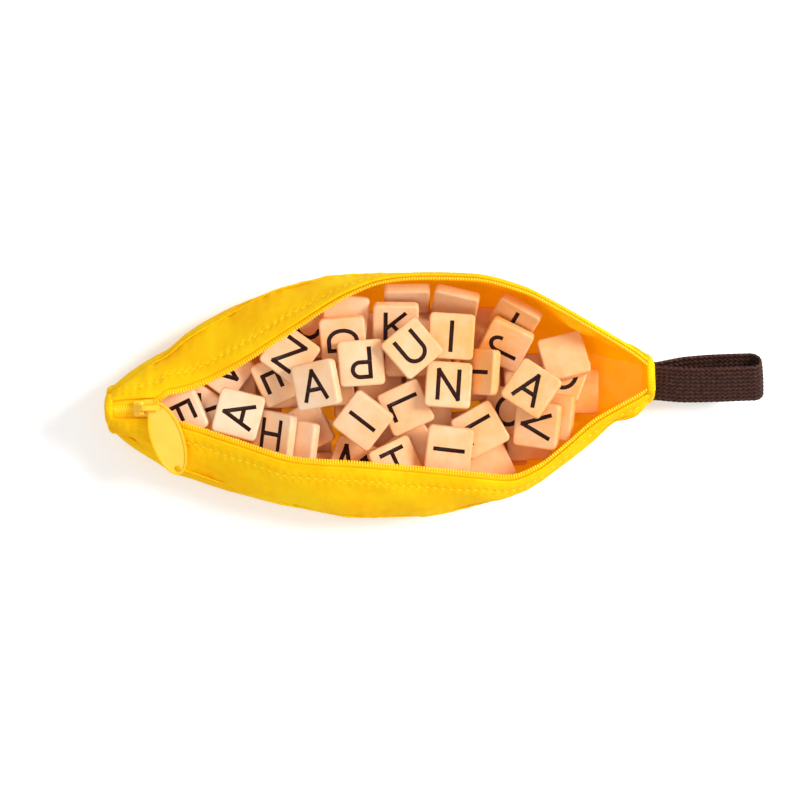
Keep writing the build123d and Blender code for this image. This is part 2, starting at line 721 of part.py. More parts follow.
def circle_through(a, b, c):
    """Centre (y, z) and radius of the circle through three points of one plane."""
    (ay, az), (by, bz), (cy, cz) = ((p.Y, p.Z) for p in (a, b, c))
    twice = 2 * (ay * (bz - cz) + by * (cz - az) + cy * (az - bz))
    sums = [y * y + z * z for y, z in ((ay, az), (by, bz), (cy, cz))]
    y = (sums[0] * (bz - cz) + sums[1] * (cz - az) + sums[2] * (az - bz)) / twice
    z = (sums[0] * (cy - by) + sums[1] * (ay - cy) + sums[2] * (by - ay)) / twice
    return y, z, math.hypot(ay - y, az - z)


def floor_z(x, y):
    """Height of the inside of the base at (x, y), or None beyond its widest."""
    side = BACK if y > 0 else FRONT
    if abs(x) > body_end:
        return None
    seam, widest, flat_edge = base_points(x, side, inner_depth)
    if abs(y) <= abs(flat_edge.Y):
        return flat_edge.Z
    if abs(y) >= abs(widest.Y):
        return None
    middle_y, middle_z, radius = circle_through(seam, widest, flat_edge)
    return middle_z - math.sqrt(max(0.0, radius**2 - (y - middle_y) ** 2))


def wall_overshoot(corner):
    """How far a corner stands out through the inside of the pouch, across it."""
    side = BACK if corner.Y > 0 else FRONT
    if abs(corner.X) > body_end:
        return half_width
    seam, widest, flat_edge = base_points(corner.X, side, inner_depth)
    if corner.Z > seam.Z:
        limit = Lip(corner.X, side).inner_y(corner.Z, inner_depth)
        if limit is None:
            return 0.0
    elif corner.Z > flat_edge.Z:
        middle_y, middle_z, radius = circle_through(seam, widest, flat_edge)
        limit = middle_y + side * math.sqrt(max(0.0, radius**2 - (corner.Z - middle_z) ** 2))
    else:
        limit = flat_edge.Y
    return max(0.0, side * (corner.Y - limit))


def settle(block, resting):
    """Lower a block on to the base and the tiles below it, or None if it has no room."""
    heights = []
    block.centre.Z = 0.0
    for corner in block.corners():
        ground = floor_z(corner.X, corner.Y)
        if ground is None:
            side = BACK if corner.Y > 0 else FRONT
            seam, widest, flat_edge = base_points(corner.X, side, inner_depth)
            ground = flat_edge.Z
        heights.append(ground - corner.Z)
    reach = tile_size * 1.5
    for other in resting:
        if math.hypot(other.centre.X - block.centre.X, other.centre.Y - block.centre.Y) < reach:
            heights.append(block.stop_above(other))
    block.centre.Z = max(heights)
    return block


def settle_inside(block, resting, most_moves):
    """Settle a block, nudging it towards the middle until it clears the walls."""
    for _ in range(most_moves + 1):
        settle(block, resting)
        worst = max(block.corners(), key=wall_overshoot)
        over = wall_overshoot(worst)
        if over < 0.01:
            return block
        inward = -1 if worst.Y > 0 else 1
        block.centre.Y += inward * (over + 0.05)
    return None


def over_rim(corner):
    """Whether a corner stands as high as a rim and has no room beside its teeth."""
    side = BACK if corner.Y > zip_offset else FRONT
    high = corner.Z > rim_z(corner.X, side) - lip_room
    return high and side * (corner.Y - rim_y(corner.X, side)) > -tooth_room


def settle_low(place, resting):
    """Settle a tile of the heap where it lies lowest within a small shuffle of its place."""
    x, y, *angles = place
    best, best_cost = None, math.inf
    for ring in range(shuffle_rings + 1):
        for turn in range(6 * ring or 1):
            angle = math.radians(60.0 * turn / max(ring, 1))
            reach = ring * shuffle_reach / shuffle_rings
            block = Block(x + reach * math.cos(angle), y + reach * math.sin(angle), *angles)
            block = settle_inside(block, resting, 8)
            if block is None or any(over_rim(corner) for corner in block.corners()):
                continue
            cost = block.centre.Z + shuffle_dislike * math.hypot(block.centre.X - x,
                                                                 block.centre.Y - y)
            if cost < best_cost:
                best, best_cost = block, cost
    return best


def settle_in_mouth(place, resting):
    """Settle a tile of the heap, further to the middle where the mouth is too narrow for it."""
    x, *rest = place
    for share in mouth_shares:
        block = settle_low((x * share, *rest), resting)
        if block is not None:
            return block
    return None


def bed_blocks():
    """Layers of tiles below the ones that show, each layer shifted by half a tile."""
    resting, layers = [], []
    for layer in range(bed_layers):
        laid = []
        shift = 0.5 * bed_pitch * (layer % 2)
        columns = int(bed_reach // bed_pitch)
        for row in range(-2, 3):
            for column in range(-columns - 1, columns + 1):
                step = row * 7 + column * 3 + layer * 5
                x = (column + 0.5) * bed_pitch + shift
                y = row * bed_pitch + 0.5 * shift
                block = Block(x, y, 1.5 * (step % 5 - 2), 37.0 * step, 1.0 + step % 3)
                if abs(x) > bed_reach or not settle_inside(block, resting, 6):
                    continue
                ceiling = keel_z(x) + inner_depth + tile_thickness * (layer + 0.5) + bed_slack
                if block.centre.Z < ceiling + 1.2 * layer:
                    resting.append(block)
                    laid.append(block)
        layers.append(laid)
    return layers


def tile_shape():
    """Moulded letter tile, face up, with rounded corners."""
    square = RectangleRounded(tile_size, tile_size, tile_corner)
    return extrude(square, tile_thickness / 2, both=True)


def hidden_tile_shape():
    """The same tile for the ones that lie below, its corners cut straight."""
    square = Rectangle(tile_size, tile_size)
    square = chamfer(square.vertices(), tile_corner * (2 - math.sqrt(2)))
    return extrude(square, tile_thickness / 2, both=True)


def placed(tile, block):
    return Plane(origin=block.centre, x_dir=block.axes[0], z_dir=block.axes[2]).location * tile


def tile_nodes():
    """Every tile: the bed by layers, plain ones together, each lettered one alone."""
    tile, hidden_tile = tile_shape(), hidden_tile_shape()
    layers = bed_blocks()
    resting = [block for layer in layers for block in layer]
    nodes = {f"tiles_bed_{level}": Compound(children=[placed(hidden_tile, block) for block in layer])
             for level, layer in enumerate(layers, start=1)}
    plain = []
    for place, x, y, turn, lean_way, lean in heap:
        block = settle_in_mouth((x, y, turn, lean_way, lean), resting)
        if block is None:
            continue
        resting.append(block)
        if place in plain_places:
            plain.append(placed(hidden_tile, block))
        else:
            nodes[f"tile_{place}"] = placed(tile, block)
    nodes["tiles_plain_upper"] = Compound(children=plain)
    return nodes


def build():
    """Every node of the part, by name."""
    nodes = {
        "pouch_front_panel": side_panel(FRONT),
        "pouch_back_panel": side_panel(BACK),
        "pouch_base_panel": base_panel(),
        "pouch_lining": lining(),
        "left_end_cap": end_cap(-body_end, -1),
        "right_end_cap": right_end_cap(),
        "zip_tape_front": zip_tape(FRONT),
        "zip_tape_back": zip_tape(BACK),
        "zip_teeth_front": zip_teeth(FRONT),
        "zip_teeth_back": zip_teeth(BACK),
        "slider_body": slider_body(),
        "link_pin": link_pin(),
        "pull_link": pull_link(),
        "pull_tag": pull_tag(),
        "hang_loop": hang_loop(),
        "loop_tails": loop_tails(),
    }
    nodes.update(tile_nodes())
    return nodes


def main():
    os.makedirs("parts", exist_ok=True)
    for name, shape in build().items():
        export_step(shape, f"parts/{name}.step")


if __name__ == "__main__":
    main()
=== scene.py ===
"""Travel word tile game case: the looks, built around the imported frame.

Everything is in metres in the frame's own axes. The pouch's surfaces are worked
out from a few driving sizes in millimetres, the tiles from the frame's solids.
"""
import json
import logging
import math
from dataclasses import dataclass
from enum import Enum

import bmesh
import bpy
import numpy as np
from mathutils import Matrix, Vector

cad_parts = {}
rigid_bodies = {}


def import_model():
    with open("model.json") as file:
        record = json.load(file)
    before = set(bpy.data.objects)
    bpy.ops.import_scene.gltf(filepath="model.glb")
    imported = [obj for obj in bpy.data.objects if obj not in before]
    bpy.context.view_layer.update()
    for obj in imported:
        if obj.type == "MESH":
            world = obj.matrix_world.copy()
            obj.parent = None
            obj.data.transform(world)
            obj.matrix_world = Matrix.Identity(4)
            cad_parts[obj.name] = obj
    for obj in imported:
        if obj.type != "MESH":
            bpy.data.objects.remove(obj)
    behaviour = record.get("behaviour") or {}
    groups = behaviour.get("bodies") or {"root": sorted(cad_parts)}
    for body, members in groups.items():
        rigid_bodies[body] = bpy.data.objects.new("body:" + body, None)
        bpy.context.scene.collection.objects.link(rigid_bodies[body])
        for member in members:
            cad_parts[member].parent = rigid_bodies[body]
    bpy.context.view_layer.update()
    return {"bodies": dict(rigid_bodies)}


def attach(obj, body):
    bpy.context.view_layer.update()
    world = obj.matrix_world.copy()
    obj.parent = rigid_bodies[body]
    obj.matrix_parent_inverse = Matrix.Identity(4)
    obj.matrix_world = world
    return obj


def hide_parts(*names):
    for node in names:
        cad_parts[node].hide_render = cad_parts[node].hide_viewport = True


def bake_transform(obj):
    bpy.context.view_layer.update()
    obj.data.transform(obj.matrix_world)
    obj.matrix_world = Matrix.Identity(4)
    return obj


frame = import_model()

LOG = logging.getLogger("tile_case")
MM = 0.001
Knots = list[tuple[float, float]]


class Side(Enum):
    """The two walls of the pouch."""

    FRONT = -1
    BACK = 1


# ------------------------------------------------------------------ mesh tools
def through(knots: Knots, x: np.ndarray) -> np.ndarray:
    """Smooth curve through (place, value) knots that never swings past a knot.

    A cubic between each pair of knots, with the harmonic mean of the two
    neighbouring slopes at each knot.

    Args:
        knots: places in rising order with their values.
        x: places to work out.

    Returns:
        The values at x.
    """
    place, value = (np.array(column, float) for column in zip(*knots))
    steps = np.diff(value) / np.diff(place)
    left, right = steps[:-1], steps[1:]
    level = left * right <= 0
    inner = np.where(level, 0.0, 2 * left * right / np.where(level, 1.0, left + right))
    slope = np.concatenate([steps[:1], inner, steps[-1:]])
    x = np.clip(x, place[0], place[-1])
    i = np.clip(np.searchsorted(place, x, side="right") - 1, 0, len(steps) - 1)
    width = place[i + 1] - place[i]
    t = (x - place[i]) / width
    return ((2 * t**3 - 3 * t**2 + 1) * value[i] + (t**3 - 2 * t**2 + t) * width * slope[i]
            + (3 * t**2 - 2 * t**3) * value[i + 1] + (t**3 - t**2) * width * slope[i + 1])


def smooth_step(x: np.ndarray, start: float, end: float) -> np.ndarray:
    """Zero before start, one after end and a smooth rise between them."""
    t = np.clip((x - start) / (end - start), 0.0, 1.0)
    return t * t * (3 - 2 * t)


def unit(vectors: np.ndarray) -> np.ndarray:
    """Each vector along the last axis, brought to length one."""
    return vectors / np.linalg.norm(vectors, axis=-1, keepdims=True)


def plane_waves(u: np.ndarray, v: np.ndarray, length: float, seed: int, count: int,
                spread: tuple[float, float]) -> list[tuple[np.ndarray, float]]:
    """Distance in wavelengths, and phase, of plane waves that cross in many directions.

    Args:
        u, v: places on the surface.
        length: usual wavelength.
        seed: start of the random draws.
        count: number of waves.
        spread: shortest and longest wave against the usual one.

    Returns:
        One pair for each wave.
    """
    draw = np.random.default_rng(seed)
    waves = []
    for _ in range(count):
        angle, phase = draw.uniform(0, 2 * math.pi, 2)
        wave = length * draw.uniform(*spread)
        waves.append(((u * math.cos(angle) + v * math.sin(angle)) / wave, phase))
    return waves


def ripples(u: np.ndarray, v: np.ndarray, length: float, seed: int) -> np.ndarray:
    """Soft uneven height between about -1 and 1: the sum of seven sine waves."""
    count = 7
    total = sum(np.sin(2 * math.pi * far + phase)
                for far, phase in plane_waves(u, v, length, seed, count, (0.6, 1.6)))
    return total / math.sqrt(count * 2)


def creases(u: np.ndarray, v: np.ndarray, length: float, seed: int) -> np.ndarray:
    """Height of a crumpled film, -1 to 1: five triangle waves that meet in sharp folds."""
    count = 5
    turns = [far + phase
             for far, phase in plane_waves(u, v, length, seed, count, (0.7, 1.5))]
    return sum(4 * np.abs(turn - np.floor(turn + 0.5)) - 1 for turn in turns) / count


@dataclass(frozen=True)
class Ripple:
    """Soft uneven height of handled cloth, in millimetres."""

    height: float
    length: float                    # usual wavelength
    seed: int
    draw: tuple[float, float] = (1.0, 1.0)   # less than one draws the folds out that way

    def over(self, u: np.ndarray, v: np.ndarray, other: int = 0) -> np.ndarray:
        """Height at each place; other picks another pattern of the same kind."""
        return self.height * ripples(self.draw[0] * u, self.draw[1] * v, self.length,
                                     self.seed + other)


@dataclass(frozen=True)
class Ridge:
    """Round ridge beside a line, a groove where the height is negative, in millimetres."""

    height: float
    place: float
    width: float

    def over(self, away: np.ndarray) -> np.ndarray:
        """Height at each distance from the line."""
        return self.height * np.exp(-((away - self.place) / self.width) ** 2)


def new_object(name: str, points: np.ndarray, faces: np.ndarray,
               smooth: bool = True) -> bpy.types.Object:
    """Mesh object in the scene from whole arrays.

    Args:
        name: the piece's name.
        points: (n, 3) places in metres.
        faces: (k, 4) or (k, 3) corner numbers, each outward by the right-hand rule.
        smooth: shade the faces smooth.

    Returns:
        The new object.
    """
    mesh = bpy.data.meshes.new(name)
    corners = faces.shape[1]
    mesh.vertices.add(len(points))
    mesh.vertices.foreach_set("co", points.astype(np.float32).ravel())
    mesh.loops.add(faces.size)
    mesh.loops.foreach_set("vertex_index", faces.astype(np.int32).ravel())
    mesh.polygons.add(len(faces))
    starts = np.arange(0, faces.size, corners, dtype=np.int32)
    mesh.polygons.foreach_set("loop_start", starts)
    mesh.polygons.foreach_set("use_smooth", np.full(len(faces), smooth))
    mesh.update(calc_edges=True)
    mesh.validate()
    piece = bpy.data.objects.new(name, mesh)
    bpy.context.scene.collection.objects.link(piece)
    return piece


def give_uv(piece: bpy.types.Object, flat: np.ndarray) -> None:
    """Lay a piece flat: one (u, v) in metres for each vertex."""
    layer = piece.data.uv_layers.new(name="cloth")
    index = np.empty(len(piece.data.loops), dtype=np.int32)
    piece.data.loops.foreach_get("vertex_index", index)
    layer.data.foreach_set("uv", flat[index].astype(np.float32).ravel())


def grid_faces(rows: int, columns: int, around: bool = False) -> np.ndarray:
    """Quads of a grid of points, row by row.

    Args:
        rows, columns: the grid's size.
        around: the last column meets the first.

    Returns:
        (k, 4) corner numbers.
    """
    i, j = np.meshgrid(np.arange(rows - 1), np.arange(columns if around else columns - 1),
                       indexing="ij")
    k = (j + 1) % columns
    quads = [i * columns + j, (i + 1) * columns + j, (i + 1) * columns + k, i * columns + k]
    return np.stack(quads, axis=-1).reshape(-1, 4)


def tube_faces(rings: int, corners: int) -> np.ndarray:
    """Quads of a closed tube: the wall, then the fill of its first and of its last ring."""
    caps = np.array([[i, i + 1, corners - 2 - i, corners - 1 - i]
                     for i in range(corners // 2 - 1)])
    return np.concatenate([grid_faces(rings, corners, around=True), caps,
                           caps[:, ::-1] + (rings - 1) * corners])


def outward(points: np.ndarray, faces: np.ndarray) -> np.ndarray:
    """Turn the faces of a closed shape so that they point out of it."""
    a, b, c, d = (points[faces[:, k]] for k in range(4))
    volume = np.einsum("ij,ij->i", a, np.cross(b, c) + np.cross(c, d)).sum()
    return faces if volume > 0 else faces[:, ::-1]


def shell(name: str, outer: np.ndarray, inner: np.ndarray, flat: np.ndarray
          ) -> bpy.types.Object:
    """Closed sheet of cloth between an outer and an inner grid of points.

    The grids have the same shape; strips along all four borders join them.

    Args:
        name: the piece's name.
        outer, inner: (rows, columns, 3) places in millimetres.
        flat: (rows, columns, 2) places on the flat cloth in millimetres.

    Returns:
        The new object.
    """
    rows, columns = outer.shape[:2]
    front = grid_faces(rows, columns)
    number = np.arange(rows * columns).reshape(rows, columns)
    border = np.concatenate([number[0, :-1], number[:-1, -1], number[-1, :0:-1],
                             number[:0:-1, 0]])
    following = np.roll(border, -1)
    shift = rows * columns
    sides = np.stack([border, following, following + shift, border + shift], axis=-1)
    faces = np.concatenate([front, front[:, ::-1] + shift, sides])
    points = np.concatenate([outer.reshape(-1, 3), inner.reshape(-1, 3)]) * MM
    piece = new_object(name, points, outward(points, faces))
    give_uv(piece, np.tile(flat.reshape(-1, 2) * MM, (2, 1)))
    return piece


def copies(name: str, shape: tuple[np.ndarray, np.ndarray], places: np.ndarray,
           axes: np.ndarray) -> bpy.types.Object:
    """One mesh of many copies of a small shape.

    Args:
        name: the piece's name.
        shape: its points (p, 3) in millimetres and faces (f, 4).
        places: (k, 3) origins in millimetres.
        axes: (k, 3, 3) rows are the copy's x, y and z directions.

    Returns:
        The new object.
    """
    points, faces = shape
    laid = places[:, None, :] + np.einsum("pc,kcd->kpd", points, axes)
    steps = np.arange(len(places))[:, None, None] * len(points)
    return new_object(name, laid.reshape(-1, 3) * MM, (faces[None] + steps).reshape(-1, 4))


def rod(path: np.ndarray, radius: float, spread: float) -> tuple[np.ndarray, np.ndarray]:
    """Six-sided rod along a path in the XZ plane, drawn in at both ends.

    Args:
        path: (n, 2) x and z of the centre line.
        radius: half the thickness.
        spread: thickness along y against that across it.

    Returns:
        Points and faces, for copies().
    """
    corners, drawn_in = 6, 0.35
    run = unit(np.gradient(path, axis=0))
    rise = np.stack([-run[:, 1], run[:, 0]], axis=-1)
    size = np.full(len(path), radius)
    size[[0, -1]] *= drawn_in
    turn = 2 * math.pi * np.arange(corners) / corners
    across = np.cos(turn)[None, :] * size[:, None]
    beside = np.sin(turn)[None, :] * size[:, None] * spread
    points = np.stack([path[:, None, 0] + rise[:, None, 0] * across, beside,
                       path[:, None, 1] + rise[:, None, 1] * across], axis=-1)
    points = points.reshape(-1, 3)
    return points, outward(points, tube_faces(len(path), corners))


# ------------------------------------------------------------------ finishes
class Shader:
    """A material's or a group's nodes, added and joined in short lines."""

    def __init__(self, tree: bpy.types.NodeTree) -> None:
        """Start on an empty tree."""
        self.tree = tree

    def add(self, kind: str, *sources: object, **settings: object) -> bpy.types.Node:
        """Add a node.

        Args:
            kind: Blender's node type without its ShaderNode prefix.
            sources: what feeds its inputs in order: a socket, a plain value or None.
            settings: properties of the node.

        Returns:
            The node.
        """
        node = self.tree.nodes.new("ShaderNode" + kind)
        for key, value in settings.items():
            setattr(node, key, value)
        for number, source in enumerate(sources):
            if isinstance(source, bpy.types.NodeSocket):
                self.tree.links.new(source, node.inputs[number])
            elif source is not None:
                node.inputs[number].default_value = source
        return node

    def math(self, operation: str, *sources: object) -> bpy.types.NodeSocket:
        """Add a Math node and return its value."""
        return self.add("Math", *sources, operation=operation).outputs[0]

    def mix(self, share: object, low: tuple, high: tuple) -> bpy.types.NodeSocket:
        """Blend two colours by a share and return the colour."""
        node = self.tree.nodes.new("ShaderNodeMix")
        node.data_type = "RGBA"
        for socket, source in ((node.inputs[0], share), (node.inputs[6], low),
                               (node.inputs[7], high)):
            if isinstance(source, bpy.types.NodeSocket):
                self.tree.links.new(source, socket)
            elif isinstance(source, tuple):
                socket.default_value = (*source, 1.0)
            else:
                socket.default_value = source
        return node.outputs[2]


def new_group(name: str, inputs: dict[str, str], outputs: dict[str, str]
              ) -> tuple[bpy.types.NodeTree, Shader, bpy.types.Node, bpy.types.Node]:
    """Empty shader group with named sockets, and its two end nodes."""
    tree = bpy.data.node_groups.new(name, "ShaderNodeTree")
    for label, kind in inputs.items():
        tree.interface.new_socket(label, in_out="INPUT", socket_type="NodeSocket" + kind)
    for label, kind in outputs.items():
        tree.interface.new_socket(label, in_out="OUTPUT", socket_type="NodeSocket" + kind)
    ends = (tree.nodes.new("NodeGroupInput"), tree.nodes.new("NodeGroupOutput"))
    return tree, Shader(tree), *ends


def weave_group() -> bpy.types.NodeTree:
    """Plain weave: two crossing sets of round threads that pass over each other in turn."""
    middle, swing = 0.6, 0.4         # a thread's height, and how far it goes up and down
    tree, shader, start, end = new_group("weave", {"Place": "Vector", "Threads": "Float"},
                                         {"Height": "Float", "Gap": "Float"})
    scaled = shader.add("VectorMath", start.outputs[0], None, operation="SCALE")
    tree.links.new(start.outputs[1], scaled.inputs[3])
    parts = shader.add("SeparateXYZ", scaled.outputs[0])
    u, v = parts.outputs[0], parts.outputs[1]
    threads = []
    for own, other, way in ((u, v, swing), (v, u, -swing)):
        turn = shader.math("MULTIPLY", own, math.pi)
        body = shader.math("ABSOLUTE", shader.math("SINE", turn))
        phase = shader.math("ADD", other, shader.math("FLOOR", own))
        over = shader.math("COSINE", shader.math("MULTIPLY", phase, math.pi))
        lift = shader.math("MULTIPLY_ADD", over, way, middle)
        threads.append(shader.math("MULTIPLY", body, lift))
    height = shader.math("MAXIMUM", *threads)
    tree.links.new(height, end.inputs[0])
    tree.links.new(shader.math("SUBTRACT", 1.0, height), end.inputs[1])
    return tree


def mottle_group() -> bpy.types.NodeTree:
    """Uneven shade from 0 to 1: a broad cloudiness with spots seven times finer in it."""
    tree, shader, start, end = new_group("mottle", {"Place": "Vector", "Scale": "Float"},
                                         {"Shade": "Float"})
    broad = shader.add("TexNoise", start.outputs[0], None, None, 3.0, 0.55)
    tree.links.new(start.outputs[1], broad.inputs["Scale"])
    fine = shader.add("TexNoise", start.outputs[0], None, None, 2.0, 0.6)
    tree.links.new(shader.math("MULTIPLY", start.outputs[1], 7.0), fine.inputs["Scale"])
    both = shader.math("ADD", shader.math("MULTIPLY", broad.outputs[0], 0.7),
                       shader.math("MULTIPLY", fine.outputs[0], 0.3))
    spread = shader.add("MapRange", both, 0.35, 0.65, 0.0, 1.0)
    tree.links.new(spread.outputs[0], end.inputs[0])
    return tree


@dataclass(frozen=True)
class Finish:
    """What every finish has: two shades, roughness, gloss and surface texture."""

    name: str
    dark: tuple[float, float, float]
    light: tuple[float, float, float]
    roughness: float
    patch: float = 40.0              # patches of shade per metre
    threads: float = 0.0             # threads per metre, none on moulded pieces
    thread_relief: float = 0.0       # metres
    grain: float = 0.0               # fine unevenness, metres
    grain_scale: float = 900.0       # grains per metre
    coat: float = 0.0
    coat_roughness: float = 0.12
    metallic: float = 0.0
    gap_shade: float = 0.0           # painted shade: share by which the gaps between threads are darkened
    gap_tone: float = 0.45           # colour of that painted shade, against the dark shade
    specular: float = 0.5
    glow: float = 0.0                # painted light: emission in the finish's own colour that lifts its brightness, standing in for light through thin cloth and for bounce light
    painted_light_slope: tuple[float, ...] = ()    # painted light and shade: the direction in which the colour turns lighter, share per metre
    patch_beside_slope: float = 0.6         # what the patches still add beside the painted slope

    def colour(self, shader: Shader, place: bpy.types.NodeSocket,
               share: bpy.types.NodeSocket) -> bpy.types.NodeSocket:
        """Colour before any weave: the two shades in patches, plus the painted light and
        shade of the slope where one is given.
        """
        if self.painted_light_slope:
            along = shader.add("VectorMath", place, self.painted_light_slope, operation="DOT_PRODUCT")
            share = shader.math("MULTIPLY_ADD", share, self.patch_beside_slope,
                                along.outputs["Value"])
        return shader.mix(share, self.dark, self.light)

    def material(self) -> bpy.types.Material:
        """Build the finish as a node material.

        Returns:
            The material.
        """
        paint = bpy.data.materials.new(self.name)
        paint.use_nodes = True
        shader = Shader(paint.node_tree)
        surface = paint.node_tree.nodes["Principled BSDF"]
        for socket, value in (("Roughness", self.roughness), ("Coat Weight", self.coat),
                              ("Coat Roughness", self.coat_roughness),
                              ("Metallic", self.metallic),
                              ("Specular IOR Level", self.specular),
                              ("Emission Strength", self.glow)):
            surface.inputs[socket].default_value = value
        place = shader.add("TexCoord")
        mottle = shader.add("Group", node_tree=bpy.data.node_groups["mottle"])
        mottle.inputs[1].default_value = self.patch
        paint.node_tree.links.new(place.outputs["Object"], mottle.inputs[0])
        colour = self.colour(shader, place.outputs["Object"], mottle.outputs[0])
        height = None
        if self.threads:
            weave = shader.add("Group", node_tree=bpy.data.node_groups["weave"])
            weave.inputs[1].default_value = self.threads
            paint.node_tree.links.new(place.outputs["UV"], weave.inputs[0])
            # painted shade in the gaps between threads
            shade = shader.math("MULTIPLY", weave.outputs[1], self.gap_shade)
            colour = shader.mix(shade, colour, tuple(self.gap_tone * c for c in self.dark))
            height = shader.math("MULTIPLY", weave.outputs[0], self.thread_relief)
        if self.grain:
            noise = shader.add("TexNoise", place.outputs["Object"], None, self.grain_scale,
                               2.0, 0.6)
            grain = shader.math("MULTIPLY", noise.outputs[0], self.grain)
            height = shader.math("ADD", height, grain) if height else grain
        if height:
            bump = shader.add("Bump")
            bump.inputs["Distance"].default_value = 1.0
            paint.node_tree.links.new(height, bump.inputs["Height"])
            paint.node_tree.links.new(bump.outputs[0], surface.inputs["Normal"])
        paint.node_tree.links.new(colour, surface.inputs["Base Color"])
        # painted light: the surface glows in its own colour at the glow strength
        paint.node_tree.links.new(colour, surface.inputs["Emission Color"])
        return paint


@dataclass(frozen=True)
class RimmedFinish(Finish):
    """A moulded plate whose raised rim has a deeper colour than its field."""

    rim: tuple[float, float, float] = (0.0, 0.0, 0.0)
    up: tuple[float, float, float] = (0.0, 0.0, 1.0)
    field_height: float = 0.0        # of the field along up, metres
    rim_height: float = 0.0          # of the rim along up, metres

    def colour(self, shader: Shader, place: bpy.types.NodeSocket,
               share: bpy.types.NodeSocket) -> bpy.types.NodeSocket:
        """Field in patches, the rim and the sides in the deeper colour."""
        height = shader.add("VectorMath", place, self.up, operation="DOT_PRODUCT")
        step = (self.rim_height - self.field_height) / 4
        off = shader.math("SUBTRACT", height.outputs["Value"], self.field_height)
        mask = shader.math("GREATER_THAN", shader.math("ABSOLUTE", off), step)
        return shader.mix(mask, super().colour(shader, place, share), self.rim)


# Each glow below is painted light: the finish shines in its own colour.
CANVAS = Finish("canvas", (0.94, 0.46, 0.002), (0.98, 0.62, 0.005), 0.85, patch=38.0,
                threads=1500.0, thread_relief=0.00010, gap_shade=0.24, specular=0.06,
                glow=0.07)
LINING = Finish("lining", (1.0, 0.40, 0.001), (1.0, 0.50, 0.002), 0.22, patch=30.0,
                grain=0.00003, coat=0.04, specular=0.1, glow=0.22)
TAPE = Finish("tape", (0.94, 0.48, 0.002), (0.97, 0.58, 0.004), 0.8, patch=80.0,
              threads=2200.0, thread_relief=0.00006, gap_shade=0.22, specular=0.12,
              glow=0.10)
TEETH = Finish("teeth", (0.95, 0.52, 0.003), (0.97, 0.60, 0.006), 0.5, patch=120.0,
               grain=0.00001, specular=0.3, glow=0.10)
THREAD = Finish("thread", (0.95, 0.54, 0.004), (0.98, 0.63, 0.010), 0.7, patch=300.0,
                grain=0.00003, specular=0.2, glow=0.08)
PAINTED = Finish("painted", (0.95, 0.53, 0.003), (0.97, 0.59, 0.006), 0.3, patch=150.0,
                 grain=0.00001, coat=0.4, specular=0.4, glow=0.06)
STEEL = Finish("steel", (0.45, 0.43, 0.40), (0.62, 0.60, 0.57), 0.35, patch=300.0,
               grain=0.000005, metallic=1.0)
# The tile's dark shade is the orange of a tile in shade under the lining's bounce light,
# and its light shade is the lit tile. This is painted light and shade, mixed in random
# patches and by a painted slope that is lighter up high and towards -x.
TILE = Finish("tile", (0.88, 0.37, 0.075), (0.90, 0.65, 0.44), 0.38, patch=30.0,
              grain=0.000006, coat=0.06, specular=0.25, painted_light_slope=(-4.5, 0.0, 9.0))
INK = Finish("ink", (0.020, 0.006, 0.004), (0.030, 0.009, 0.007), 0.5, patch=400.0,
             grain=0.000008, specular=0.15)
WEBBING = Finish("webbing", (0.022, 0.0055, 0.0035), (0.120, 0.046, 0.030), 0.5,
                 patch=900.0, threads=650.0, thread_relief=0.00030, grain=0.00005,
                 gap_shade=0.95, specular=0.10)
TAG = RimmedFinish("tag", (0.93, 0.53, 0.045), (0.95, 0.57, 0.060), 0.42, patch=120.0,
                   grain=0.00001, specular=0.35, glow=0.06, rim=(0.95, 0.50, 0.004),
                   up=(0.0, -0.309017, 0.951057), field_height=0.036477,
                   rim_height=0.036827)


class Wardrobe:
    """Every finish's material, built once."""

    def __init__(self) -> None:
        """Build the shared groups, then the materials."""
        weave_group()
        mottle_group()
        self.made: dict[str, bpy.types.Material] = {}

    def dress(self, piece: bpy.types.Object, *finishes: Finish) -> None:
        """Give a piece its finishes, one material slot each."""
        piece.data.materials.clear()
        for finish in finishes:
            if finish.name not in self.made:
                self.made[finish.name] = finish.material()
            piece.data.materials.append(self.made[finish.name])


def settle_piece(piece: bpy.types.Object, body: str, slot: str, *nodes: str) -> None:
    """Ride on a body, stand for CAD nodes and say so."""
    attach(piece, body)
    if nodes:
        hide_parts(*nodes)
    LOG.info("%s rides on %s", piece.name, body)


# ------------------------------------------------------------------ pouch form
# Places are shares of half the length. The values are shares of half the width for
# the sides and rims, of the rise above the closed zip for RIM_RISE, millimetres for
# SEAM_INSET and degrees for the lean of the walls at the rims.
FRONT_SIDE = [(-0.978, 0.219), (-0.926, 0.320), (-0.830, 0.471), (-0.769, 0.570),
              (-0.699, 0.629), (-0.524, 0.771), (-0.306, 0.898), (-0.087, 0.992),
              (0.131, 1.000), (0.349, 0.923), (0.524, 0.815), (0.655, 0.635),
              (0.769, 0.452), (0.856, 0.298), (0.926, 0.260), (0.978, 0.154)]
BACK_SIDE = [(-0.978, 0.142), (-0.926, 0.225), (-0.830, 0.369), (-0.769, 0.440),
             (-0.699, 0.560), (-0.524, 0.752), (-0.306, 0.913), (-0.087, 0.979),
             (0.131, 0.967), (0.349, 0.931), (0.524, 0.819), (0.655, 0.663),
             (0.769, 0.494), (0.856, 0.371), (0.926, 0.312), (0.978, 0.227)]
FRONT_RIM = [(-0.769, -0.127), (-0.699, -0.176), (-0.524, -0.317), (-0.306, -0.475),
             (-0.087, -0.525), (0.131, -0.585), (0.349, -0.656), (0.463, -0.690),
             (0.560, -0.625), (0.655, -0.487), (0.769, -0.292), (0.856, -0.192),
             (0.926, -0.115), (0.978, -0.054)]
